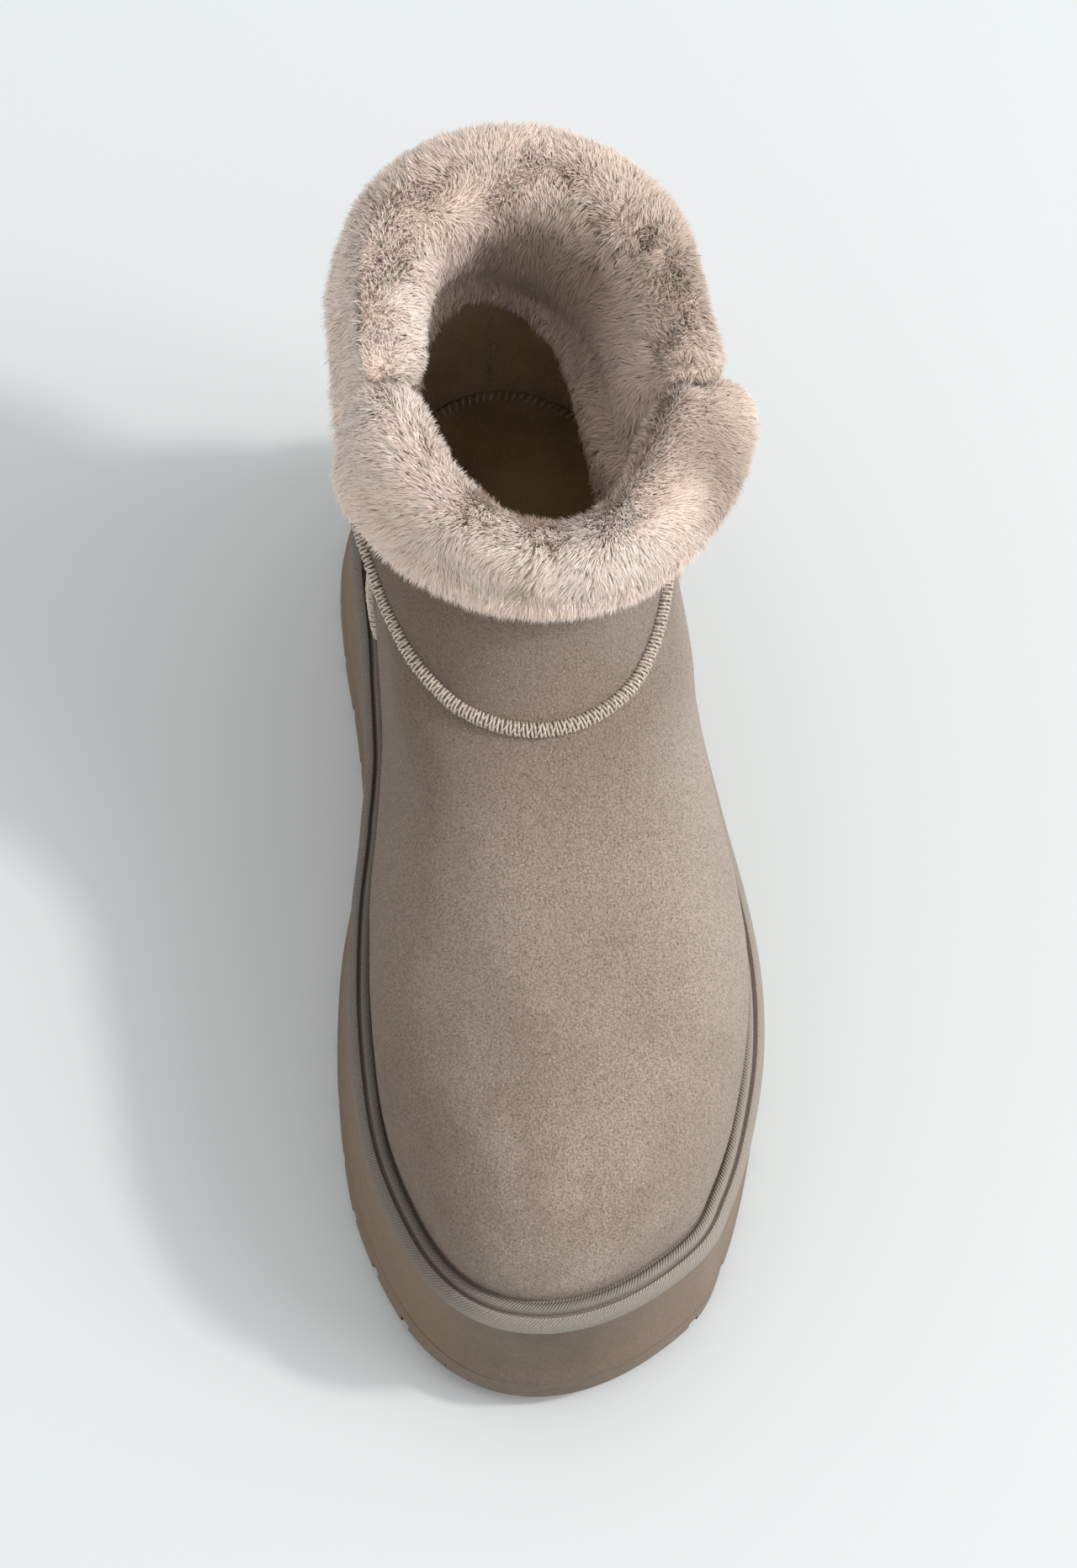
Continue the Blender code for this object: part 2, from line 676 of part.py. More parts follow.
def make_cuff(name, first_turn, last_turn, steps, lap, finish, parts):
    """One length of the fur cuff. lap is the turn by which its outside passes the notch at each end."""
    size = len(cuff_section(FUR_DROP, FUR_LINING_DROP))
    points = []
    for i in range(steps + 1):
        share = i / steps
        turn = first_turn + (last_turn - first_turn) * share
        from_end = min(share, 1 - share) * 2
        rounding = 1.0 if from_end > END_SHARE else math.sqrt(1 - (1 - from_end / END_SHARE) ** 2)
        full = END_FULLNESS + (1 - END_FULLNESS) * rounding
        wing = WING_OUT * math.exp(-((from_end - 0.20) / 0.20) ** 2)
        if lap < 0:
            wing *= -TUCK_SHARE
        elif turn < 0:
            wing *= MEDIAL_WING_SHARE
        facing = max(0.0, math.cos(turn))
        drop = FUR_DROP * (1 - FRONT_LIFT * facing)
        lining = FUR_LINING_DROP * (1 - LINING_LIFT * facing)
        for j, (out, height, lock) in enumerate(cuff_section(drop, lining)):
            grow = lock * rounding * lock_size(i, j)
            high = height * full if height > GAP else height
            if out > 0:
                depth = CUFF_ROOM + (out - CUFF_ROOM) * full + (LOCK_HEIGHT * grow + wing) * out / FUR_OUT
                high -= LOCK_LEAN * grow
            else:
                depth = (out + LINING_SIDE) * full - LINING_SIDE - LOCK_HEIGHT * grow * 0.4
                high += LOCK_LEAN * grow
            points.append(cuff_point(turn, depth, high, lap * (2 * share - 1)))
    faces = ring_faces(steps + 1, size)
    faces += [tuple(range(size)), tuple(range(steps * size, (steps + 1) * size))]
    return mesh_object(name, points, faces, finish, parts)


def make_cuffs(finish, parts):
    ring_length = (1.0 - front_along(SHAFT_HEIGHT)) * LAST_LENGTH
    room = NOTCH_GAP / ring_length
    lap = 2 * WING_OVERLAP / ring_length
    lateral = NOTCH_TURN_LATERAL
    medial = NOTCH_TURN_MEDIAL
    make_cuff("fur_cuff_front", -medial + room, lateral - room, FRONT_CUFF_STEPS, lap, finish, parts)
    around = 2 * math.pi
    make_cuff("fur_cuff_back", lateral + room, around - medial - room, BACK_CUFF_STEPS, -lap, finish, parts)


def main():
    clear_scene()
    parts = new_collection("sheepskin_boot")
    cutters = new_collection("cutters")
    suede = material("suede", (0.36, 0.285, 0.235), 0.95, 0.4)
    fur = material("fur", (0.56, 0.45, 0.38), 1.0, 0.6)
    rubber = material("sole_rubber", (0.25, 0.205, 0.165), 0.6)
    rim_rubber = material("rim_rubber", (0.23, 0.20, 0.17), 0.55)
    thread = material("seam_thread", (0.50, 0.42, 0.34), 0.8)
    insole_suede = material("insole_suede", (0.10, 0.075, 0.052), 0.95)
    make_outsole(rubber, parts, cutters)
    make_midsole(rubber, parts)
    make_rim(rim_rubber, parts)
    make_insole(insole_suede, parts)
    make_upper(suede, parts)
    make_seams(thread, parts)
    make_cuffs(fur, parts)


main()
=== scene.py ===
import math

import bpy
import numpy as np
from mathutils import Matrix, Vector


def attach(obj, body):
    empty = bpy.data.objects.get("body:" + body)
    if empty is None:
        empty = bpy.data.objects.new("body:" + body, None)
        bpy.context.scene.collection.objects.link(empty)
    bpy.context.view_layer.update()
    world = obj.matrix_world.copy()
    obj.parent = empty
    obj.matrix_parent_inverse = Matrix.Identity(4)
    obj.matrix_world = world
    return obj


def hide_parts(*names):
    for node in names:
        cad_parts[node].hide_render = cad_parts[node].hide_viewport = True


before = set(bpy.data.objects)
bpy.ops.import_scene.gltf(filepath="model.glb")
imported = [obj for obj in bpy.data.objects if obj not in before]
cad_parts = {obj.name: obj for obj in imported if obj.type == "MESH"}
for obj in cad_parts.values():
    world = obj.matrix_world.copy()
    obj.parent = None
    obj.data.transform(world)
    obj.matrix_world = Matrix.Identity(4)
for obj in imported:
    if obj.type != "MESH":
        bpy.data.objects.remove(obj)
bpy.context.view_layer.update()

# The boot's sizes and section tables, the same as its solids are made from
LAST_LENGTH = 0.266
BALL_WIDTH = 0.0975
TOE_SWING = 0.0115
INSTEP_HEIGHT = 0.06
SHAFT_HEIGHT = 0.1
BACK_RISE = 0.009
HEEL_BULGE = 0.0025
SIDE_BULGE = 0.045
UPPER_WALL = 0.0025
COLLAR_WIDTH = 0.084
COLLAR_BLUNTNESS = 0.1
COLLAR_BLUNT_POWER = 1.9
COLLAR_SWING = 0.0052
ANKLE_SHIFT = 0.004
PLATFORM_HEEL = 0.052
PLATFORM_BALL = 0.0445
PLATFORM_TOE = 0.047
TOE_SPRING = 0.006
HEEL_BEVEL = 0.003
OUTSOLE_THICKNESS = 0.009
OUTSOLE_STEP = 0.0008
LATERAL_FLARE = 0.001
MEDIAL_FLARE = 0.003
TOE_FLARE = 0.0045
WAIST_TUCK = 0.003
WAIST_ALONG = 0.62
WAIST_REACH = 0.13
INSOLE_THICKNESS = 0.004
RIM_WIDTH = 0.0066
RIM_DROP = 0.0058
RIM_LIP = 0.0014
RIM_GAP = 0.0007
BEAD_WIDTH = 0.0028
BEAD_HEIGHT = 0.003
BAND_HEIGHT = 0.0016
GROOVE_DEPTH = 0.0016
LUG_PITCH = 0.0165
LUG_GAP = 0.0034
LUG_HEIGHT = 0.0045
LUG_REACH = 0.013
CENTRE_BAR_REACH = 0.052
FUR_OUT = 0.0115
FUR_IN = 0.01
FUR_CROWN = 0.0115
FUR_DROP = 0.02
FRONT_LIFT = 0.75
FRONT_THINNING = 0.25
FUR_LINING_DROP = 0.034
LINING_LIFT = 0.35
WING_OUT = 0.0048
TUCK_SHARE = 1.5
MEDIAL_WING_SHARE = -0.4
WING_OVERLAP = 0.006
NOTCH_TURN_LATERAL = math.radians(79)
NOTCH_TURN_MEDIAL = math.radians(86)
NOTCH_GAP = 0.0016
END_FULLNESS = 0.3
END_SHARE = 0.16
SEAM_WIDTH = 0.0044
SEAM_HEIGHT = 0.0024
SEAM_SEAT = 0.0004
INSTEP_SEAM_RISE = 0.062
INSTEP_SEAM_POWER = 4.0
SIDE_SEAM_FOOT_ALONG = 0.715
SIDE_SEAM_HEAD_ALONG = 0.755
SEAM_FOOT = 0.0045
FUR_OVERHANG = 0.0066
MIDDLE_X = 0.001
GAP = 0.0003
FACET_ROOM = 0.0005
CUFF_ROOM = GAP + FACET_ROOM / 2
LINING_SIDE = UPPER_WALL + GAP + 1.6 * FACET_ROOM
SEAM_TOP = SHAFT_HEIGHT - FUR_DROP - 0.003
BARS_FROM = 0.17
BARS_SPAN = 0.66
HATCH_PITCH = 0.0009
SOLE_SHARP = math.radians(38)

# Steps over which the directions on a surface are measured, in turn and in rise
TURN_STEP = 0.012
RISE_STEP = 0.0008

# The cuff's hair, by place round its section
LOCK_PITCH = 0.0032
PLACE_STEP = 0.0042
CUFF_LENGTH = 0.16
HAIR_WIDTH = 0.00025
HAIR_RISE = 0.55
HAIR_AT = (0.0, 3.0, 5.0, 8.0, 10.0, 14.5)
HAIR_LENGTHS = (0.006, 0.0052, 0.0045, 0.0038, 0.0038, 0.0038)
HAIR_LAYS = (1.1, 0.9, 0.72, 0.7, 0.7, 0.75)
FORM_SHARE = 0.83
FRONT_INSIDE_SHARE = 0.86
BACK_INSIDE_SHARE = 1.1
MEDIAL_TUCK_SHARE = 1.4
MEDIAL_END_SHARE = 0.26
MEDIAL_END_CUT = 0.75
MEDIAL_STAND = 0.55
PARTING_X = -0.006
PARTING_REACH = 0.0045
FUR_FROM = 0.5
FUR_TO = 14.5
LUMP_HEIGHT = 0.0006
LUMP_SIZE = 0.0055

# The pile inside the shaft
LINING_FROM = 10.0
LINING_TO = 14.4
PILE_HEAD = 0.024
PILE_FOOT = 0.0335
PILE_SIDE_DROP = 0.032
PILE_SIDE_TURN = 2.05
PILE_SIDE_REACH = 0.72
PILE_THICKNESS = 0.005
PILE_SIDE_SWELL = 0.0095

# Light and camera
SKY = 0.8
KEY = 32.0
SOFT = 50.0
LAMPS_AT_HEIGHT = 0.06
CAMERA_ELEVATION = math.radians(65.0)
CAMERA_DISTANCE = 1.3
CAMERA_LENS = 75.0
AIM_ASIDE = -0.0735
BALL_BEHIND_TIP = 0.0878
AIM_BEHIND_BALL = 0.0404
AIM_BESIDE_BALL = -0.0025
BOOT_MIDDLE = Vector((0.0, 0.006, 0.06))
CAMERA_YAW = math.radians(4.8)
RIM_PLANE = 0.047
CLOSER = 1.5

SOLE_LINE_SHARES = (
    # along, medial, lateral
    (0.05, 0.58, 0.64),
    (0.1, 0.755, 0.79),
    (0.17, 0.912, 0.892),
    (0.25, 0.985, 0.958),
    (0.33, 1, 0.97),
    (0.42, 0.955, 0.928),
    (0.51, 0.86, 0.86),
    (0.6, 0.785, 0.806),
    (0.7, 0.758, 0.785),
    (0.8, 0.75, 0.77),
    (0.9, 0.695, 0.705),
    (0.96, 0.52, 0.525),
)
TOE_ROUNDNESS = 1.46
HEEL_ROUNDNESS = 1.34
SWING_SHARE = 0.42
CROWN_SHARES = (
    # along, instep share, shaft share
    (0, 0, 0),
    (0.004, 0.14, 0),
    (0.02, 0.34, 0),
    (0.055, 0.52, 0),
    (0.115, 0.655, 0),
    (0.21, 0.755, 0),
    (0.325, 0.84, 0),
    (0.43, 0.93, 0),
    (0.48, 0.99, 0),
    (0.508, 1, 0.11),
    (0.536, 1, 0.35),
    (0.563, 1, 0.66),
    (0.59, 1, 1),
    (0.64, 1, 1.8),
    (0.74, 1, 3.8),
    (1.1, 1, 12),
)
CROSS_HEIGHT_POWER = 2.5
CROSS_WIDTH_POWER = 2.15
SHAFT_SIDE_SHARES = (
    # height share of the shaft, width factor, heel set-back, share of the collar's oval, sideways
    (0, 1, 0, 0, 0),
    (0.18, 1.045, 0.8, 0, 0),
    (0.35, 1.055, 0.6, 0.06, 0),
    (0.55, 1.05, -0.8, 0.34, -0.5),
    (0.75, 1.06, -0.9, 0.86, -0.9),
    (1, 1.085, 0.3, 1, 0.8),
)
FLAT_FROM = 0.26
FLAT_TO = 0.93

TOE_REACH = RIM_WIDTH + TOE_FLARE + OUTSOLE_STEP
HEEL_REACH = RIM_WIDTH + LATERAL_FLARE + OUTSOLE_STEP - RIM_LIP
TOE_Y = -(LAST_LENGTH + HEEL_REACH - TOE_REACH + FUR_OVERHANG) / 2
HEEL_Y = TOE_Y + LAST_LENGTH

# Soft troughs (negative) and ridges in the upper, each along a line in the boot's own frame
CREASES = (
    # from x, y, z, to x, y, z, width, depth, in millimetres
    (30, 12, 112, 44, 44, 92, 6, -0.9),
    (41, 30, 100, 46, 62, 80, 7, -1),
    (44, 34, 112, 46, 62, 96, 5.5, 0.6),
    (-30, 12, 108, -45, 46, 90, 6.5, -0.9),
    (-44, 40, 104, -42, 75, 88, 6, -0.8),
    (-38, 96, 98, 6, 128, 94, 6, -0.9),
    (4, 129, 96, 36, 94, 104, 6, -0.8),
    (-26, 108, 112, 24, 112, 110, 6, 0.6),
    (-24, -20, 94, 18, -26, 95, 11, -0.9),
    (-30, -60, 86, -14, -96, 78, 10, -0.8),
    (-13, -100, 74, -5, -117, 66, 8, -1.1),
    (-20, -30, 93, -12, -80, 82, 9, 0.5),
    (26, -40, 90, 34, -82, 76, 11, 0.6),
    (34, -10, 90, 43, 18, 76, 8, -0.8),
    (-36, -12, 88, -45, 12, 74, 8, -0.7),
)

# Painted shade (positive) and painted light (negative) on the pile, where light falls on the cuff and shade
# lies in its depths, partly also the darker roots at the front parting; and where its locks part roughly
PILE_SPOTS = (
    # x, y, z, reach, in millimetres, and painted shade (negative for painted light), rough
    (33, 80, 163, 11, 0.10, 0.5),
    (29, 100, 166, 10, 0.06, 0.4),
    (15, 117, 166, 10, 0.20, 0.2),
    (48, 94, 156, 22, 0.60, 0.0),
    (38, 120, 154, 22, 0.30, 0.0),
    (-34, 33, 148, 11, 0.06, 0.3),
    (-6, 20.5, 151, 4, 1.30, 0.5),
    (-47, 86, 150, 8, 0.14, 0.2),
    (42, 44, 154, 18, 0.74, 0.0),
    (-41, 56, 163, 16, -0.50, 0.0),
    (-36, 78, 160, 18, -0.60, 0.0),
    (-26, 100, 163, 18, -0.50, 0.0),
    (14, 28, 158, 19, -0.95, 0.0),
    (-16, 34, 155, 14, -0.70, 0.0),
    (4, 112, 136, 18, 1.00, 0.0),
    (2, 113, 152, 12, 0.95, 0.0),
    (22, 106, 150, 10, 0.70, 0.0),
    (28, 88, 136, 22, 0.50, 0.0),
    (0, 24, 156, 10, -0.30, 0.0),
)

rng = np.random.default_rng(20)


def slopes(xs, ys):
    """Slopes of a curve through the points that never overshoots between them."""
    steps = np.diff(ys) / np.diff(xs)
    a, b = steps[:-1], steps[1:]
    total = np.where(a + b == 0, 1.0, a + b)
    inner = np.where(a * b <= 0, 0.0, 2 * a * b / total)
    return np.concatenate([[steps[0]], inner, [steps[-1]]])


def smooth(xs, ys, x):
    """The heights at x of the smooth curve through the points."""
    xs, ys = np.asarray(xs, float), np.asarray(ys, float)
    x = np.clip(x, xs[0], xs[-1])
    i = np.clip(np.searchsorted(xs, x) - 1, 0, len(xs) - 2)
    width = xs[i + 1] - xs[i]
    t = (x - xs[i]) / width
    lean = slopes(xs, ys)
    return (
        ys[i] * (1 + 2 * t) * (1 - t) ** 2
        + ys[i + 1] * t * t * (3 - 2 * t)
        + width * (lean[i] * t * (1 - t) ** 2 - lean[i + 1] * t * t * (1 - t))
    )


def unit(v):
    return v / np.maximum(np.linalg.norm(v, axis=-1, keepdims=True), 1e-12)


def paired(a, b):
    return np.broadcast_arrays(np.asarray(a, float), np.asarray(b, float))


def full_turn(count):
    return np.linspace(0, 2 * math.pi, count, endpoint=False)


def lengths_along(line):
    """How far along the line each of its points lies."""
    return np.concatenate([[0], np.cumsum(np.linalg.norm(np.diff(line, axis=0), axis=1))])


def column(table, number):
    return [row[number] for row in table]


def along_of(y):
    return np.clip((y - TOE_Y) / LAST_LENGTH, 0.0, 1.0)


def round_share(along):
    return 2 * np.sqrt(np.maximum(along * (1 - along), 0.0))


def centre_x(along):
    return MIDDLE_X - TOE_SWING * np.maximum(0.0, 1 - along / SWING_SHARE) ** 2


FULLNESS_AT = [0.0, *column(SOLE_LINE_SHARES, 0), 1.0]
FULLNESS = [
    [TOE_ROUNDNESS, *[row[side] / float(round_share(row[0])) for row in SOLE_LINE_SHARES], HEEL_ROUNDNESS]
    for side in (1, 2)
]


def half_width(along, side):
    lateral = smooth(FULLNESS_AT, FULLNESS[1], along)
    medial = smooth(FULLNESS_AT, FULLNESS[0], along)
    return BALL_WIDTH / 2 * np.where(side > 0, lateral, medial) * round_share(along)


def sole_base(turn):
    along = (1 - np.cos(turn)) / 2
    side = np.where(np.sin(turn) >= 0, 1.0, -1.0)
    x = centre_x(along) + side * half_width(along, side)
    return np.stack([x, TOE_Y + along * LAST_LENGTH, np.zeros_like(x)], -1)


def sole_line(turn, out=0.0):
    """Points of the sole line, moved out of it by out, and the level directions out of it."""
    turn = np.asarray(turn, float)
    ahead = sole_base(turn + 0.01) - sole_base(turn - 0.01)
    outward = unit(np.stack([ahead[..., 1], -ahead[..., 0], np.zeros_like(turn)], -1))
    return sole_base(turn) + outward * (out + np.zeros_like(turn))[..., None], outward


def platform_top(y):
    heights = (PLATFORM_TOE, PLATFORM_BALL, (PLATFORM_BALL + PLATFORM_HEEL) / 2, PLATFORM_HEEL)
    return smooth((0.0, 0.33, 0.66, 1.0), heights, along_of(y))


def floor_clearance(y):
    """How far the tread curves up from the floor at the toe and at the back of the heel."""
    toe = np.maximum(0.0, 1 - (y - TOE_Y + TOE_REACH) / (FLAT_FROM * LAST_LENGTH + TOE_REACH))
    heel_room = (1 - FLAT_TO) * LAST_LENGTH + HEEL_REACH
    heel = np.maximum(0.0, 1 - (HEEL_Y + HEEL_REACH - y) / heel_room)
    return TOE_SPRING * toe ** 2 + HEEL_BEVEL * heel ** 2


CROWN_AT = column(CROWN_SHARES, 0)
CROWN_HEIGHTS = [
    row[1] * INSTEP_HEIGHT + row[2] * (SHAFT_HEIGHT - INSTEP_HEIGHT) for row in CROWN_SHARES
]
FINE_ALONG = np.linspace(0, CROWN_AT[-1], 6000)
FINE_CROWN = smooth(CROWN_AT, CROWN_HEIGHTS, FINE_ALONG)
SIDES_AT = column(SHAFT_SIDE_SHARES, 0)


def front_along(rise):
    """Where the upper's outline from the side reaches this height above the platform."""
    return np.interp(rise, FINE_CROWN, FINE_ALONG)


def shaft_share(number, share):
    return smooth(SIDES_AT, column(SHAFT_SIDE_SHARES, number), share)


def upper_point(turn, rise):
    """Points on the outside of the upper, by turn round it and rise above the platform."""
    turn, rise = paired(turn, rise)
    share = rise / SHAFT_HEIGHT
    front = front_along(rise)
    back = 1 + HEEL_BULGE * shaft_share(2, share) / LAST_LENGTH
    forward = (1 - np.cos(turn)) / 2
    along = front + (back - front) * forward
    rise_here = rise + BACK_RISE * share ** 2 * forward ** 1.5
    crown = smooth(CROWN_AT, CROWN_HEIGHTS, along)
    closing = np.maximum(0.0, 1 - np.minimum(1.0, rise / np.maximum(crown, 1e-9)) ** CROSS_HEIGHT_POWER)
    closing = closing ** (1 / CROSS_WIDTH_POWER)
    side = np.where(np.sin(turn) >= 0, 1.0, -1.0)
    on_line = along / back
    swell = 1 + SIDE_BULGE * np.sin(math.pi * np.minimum(share * 2, 1.0))
    lean = 1 + (shaft_share(1, share) - 1) * on_line
    width = half_width(np.minimum(on_line, 1.0), side) * closing * swell * lean
    oval = shaft_share(3, share)
    egg = np.maximum(0.0, -np.cos(turn)) ** COLLAR_BLUNT_POWER
    egg = np.abs(np.sin(turn)) * (1 + COLLAR_BLUNTNESS * egg)
    width = width + oval * (COLLAR_WIDTH / 2 * egg - width)
    middle = centre_x(np.minimum(on_line, 1.0))
    middle = middle + ANKLE_SHIFT * shaft_share(4, share)
    middle = middle - COLLAR_SWING * oval * forward
    y = TOE_Y + along * LAST_LENGTH
    return np.stack([middle + side * width, y, platform_top(y) + GAP + rise_here], -1)


def bare_frame(turn, rise, surface=upper_point):
    """Points on a surface with their outward, round and upward directions."""
    low = np.maximum(rise - RISE_STEP, 0.0)
    high = np.minimum(rise + RISE_STEP, SHAFT_HEIGHT)
    point = surface(turn, rise)
    around = unit(surface(turn + TURN_STEP, rise) - surface(turn - TURN_STEP, rise))
    up = unit(surface(turn, high) - surface(turn, low))
    out = unit(np.cross(around, up))
    return point, out, around, np.cross(out, around)


WAVES = rng.normal(size=(28, 3))
WAVES = WAVES / np.linalg.norm(WAVES, axis=1, keepdims=True)
WAVE_SIZES = rng.uniform(0.6, 1.7, 28)
WAVE_STARTS = rng.uniform(0, 2 * math.pi, 28)


def ripple(points, size):
    """A smooth wandering value of about -1 to 1 whose bumps are about size across."""
    turns = points @ (WAVES * WAVE_SIZES[:, None]).T * (math.pi / size) + WAVE_STARTS
    return np.sin(turns).sum(-1) / math.sqrt(len(WAVES)) * 0.8


def relief(points):
    """How far the worked skin stands out of the plain last there."""
    total = 0.00024 * ripple(points, 0.034) + 0.0001 * ripple(points + 1.0, 0.01)
    for row in np.array(CREASES) / 1000:
        a, b, (width, depth) = row[:3], row[3:6], row[6:]
        t = np.clip((points - a) @ (b - a) / ((b - a) @ (b - a)), 0, 1)
        near = np.linalg.norm(points - a - t[..., None] * (b - a), axis=-1)
        total = total + depth * np.exp(-((near / width) ** 2))
    return total


def skin(turn, rise):
    """Points on the worked skin of the upper."""
    turn, rise = paired(turn, rise)
    point, out, _, _ = bare_frame(turn, rise)
    fade = np.clip(rise / 0.008, 0, 1) * np.clip((SHAFT_HEIGHT - rise) / 0.006, 0, 1)
    return point + out * (relief(point) * fade)[..., None]


def skin_frame(turn, rise):
    return bare_frame(turn, rise, skin)


# Meshes from arrays


def add_object(name, data):
    made = bpy.data.objects.new(name, data)
    bpy.context.scene.collection.objects.link(made)
    return made


def mesh_from(name, points, faces, finish, slot=None, smooth_faces=True):
    """A piece from an array of points and an array or list of equal faces."""
    faces = np.asarray(faces, np.int32)
    points = np.asarray(points, np.float32).ravel()
    mesh = bpy.data.meshes.new(name)
    mesh.vertices.add(len(points) // 3)
    mesh.vertices.foreach_set("co", points)
    mesh.loops.add(faces.size)
    mesh.loops.foreach_set("vertex_index", faces.ravel())
    mesh.polygons.add(len(faces))
    mesh.polygons.foreach_set("loop_start", np.arange(0, faces.size, faces.shape[1], dtype=np.int32))
    mesh.update(calc_edges=True)
    mesh.validate()
    if smooth_faces:
        mesh.shade_smooth()
    made = add_object(name, mesh)
    if finish:
        mesh.materials.append(finish)
    if slot:
        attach(made, "root")
    return made


def grid_faces(rows, size, closed=True, ring=False):
    """Quads of a grid. closed joins each row's end to its start, ring the last row to the first."""
    steps = np.arange(rows if ring else rows - 1)
    r, i = np.meshgrid(steps, np.arange(size if closed else size - 1), indexing="ij")
    r, i = r.ravel(), i.ravel()
    s, j = (r + 1) % rows, (i + 1) % size
    return np.stack([r * size + i, r * size + j, s * size + j, s * size + i], -1)


def vertex_values(obj, name, values):
    """Stores a number for each vertex, for the material to read."""
    made = obj.data.attributes.new(name, "FLOAT", "POINT")
    made.data.foreach_set("value", np.asarray(values, np.float32))


def tubes(name, paths, radius, sides, finish, slot, ups=None):
    """Many round threads in one piece, thin at their ends. paths is (count, stations, 3)."""
    count, stations, _ = paths.shape
    ahead = unit(np.gradient(paths, axis=1))
    across = unit(np.cross(ahead, (0.0, 0.0, 1.0) if ups is None else ups))
    over = np.cross(ahead, across)
    angle = full_turn(sides)
    taper = np.ones(stations)
    taper[0] = taper[-1] = 0.35
    ring = across[:, :, None] * np.cos(angle)[:, None] + over[:, :, None] * np.sin(angle)[:, None]
    points = paths[:, :, None] + ring * (radius * taper)[:, None, None]
    base = grid_faces(stations, sides)
    faces = (base[None] + (np.arange(count) * stations * sides)[:, None, None]).reshape(-1, 4)
    mesh_from(name, points, faces, finish, slot)


# Materials


class Finish:
    """A material, with short calls for its nodes."""

    def __init__(self, name, roughness, **values):
        self.material = bpy.data.materials.new(name)
        self.material.use_nodes = True
        self.tree = self.material.node_tree
        self.inputs = self.tree.nodes["Principled BSDF"].inputs
        self.inputs["Roughness"].default_value = roughness
        for key, value in values.items():
            self.put(self.inputs[key.replace("_", " ")], value)
        self.place = self.node("ShaderNodeTexCoord", {}, "Object")

    def put(self, socket, value):
        if isinstance(value, bpy.types.NodeSocket):
            self.tree.links.new(value, socket)
        else:
            socket.default_value = (*value, 1.0) if socket.type == "RGBA" else value

    def node(self, kind, given, out=0, **settings):
        made = self.tree.nodes.new(kind)
        for key, value in settings.items():
            setattr(made, key, value)
        for key, value in given.items():
            self.put(made.inputs[key], value)
        return made.outputs[out]

    def noise(self, size, detail=2.0, rough=0.5, place=None, distortion=0.0):
        """A noise value whose bumps are about size metres across."""
        given = {"Vector": place or self.place, "Scale": 1 / size, "Detail": detail, "Roughness": rough}
        return self.node("ShaderNodeTexNoise", {**given, "Distortion": distortion}, "Fac")

    def cells(self, size):
        return self.node("ShaderNodeTexVoronoi", {"Vector": self.place, "Scale": 1 / size}, "Distance")

    def math(self, what, a, b=0.0):
        return self.node("ShaderNodeMath", {0: a, 1: b}, operation=what)

    def times(self, a, b):
        return self.math("MULTIPLY", a, b)

    def ramp(self, value, low, high, to_low=0.0, to_high=1.0):
        given = {0: value, 1: low, 2: high, 3: to_low, 4: to_high}
        return self.node("ShaderNodeMapRange", given, interpolation_type="SMOOTHSTEP")

    def layers(self, tone, rows):
        """Lays colours over a first one, each by its share."""
        for share, over in rows:
            tone = self.node("ShaderNodeMix", {0: share, 6: tone, 7: over}, 2, data_type="RGBA")
        return tone

    def attribute(self, name):
        return self.node("ShaderNodeAttribute", {}, "Fac", attribute_name=name)

    def axis(self, number, place=None):
        return self.node("ShaderNodeSeparateXYZ", {0: place or self.place}, number)

    def squeezed(self, x, y, z):
        """The place with its axes scaled, for grain that is longer one way."""
        return self.node("ShaderNodeMapping", {"Vector": self.place, "Scale": (x, y, z)})

    def bump(self, height, distance, strength=1.0, under=None):
        given = {"Strength": strength, "Distance": distance, "Height": height}
        if under:
            given["Normal"] = under
        return self.node("ShaderNodeBump", given)

    def done(self, tone, rough=None, normal=None):
        for name, value in (("Base Color", tone), ("Roughness", rough), ("Normal", normal)):
            if value:
                self.put(self.inputs[name], value)
        return self.material


def times_each(colour, factor):
    return tuple(min(1.0, factor * c) for c in colour)


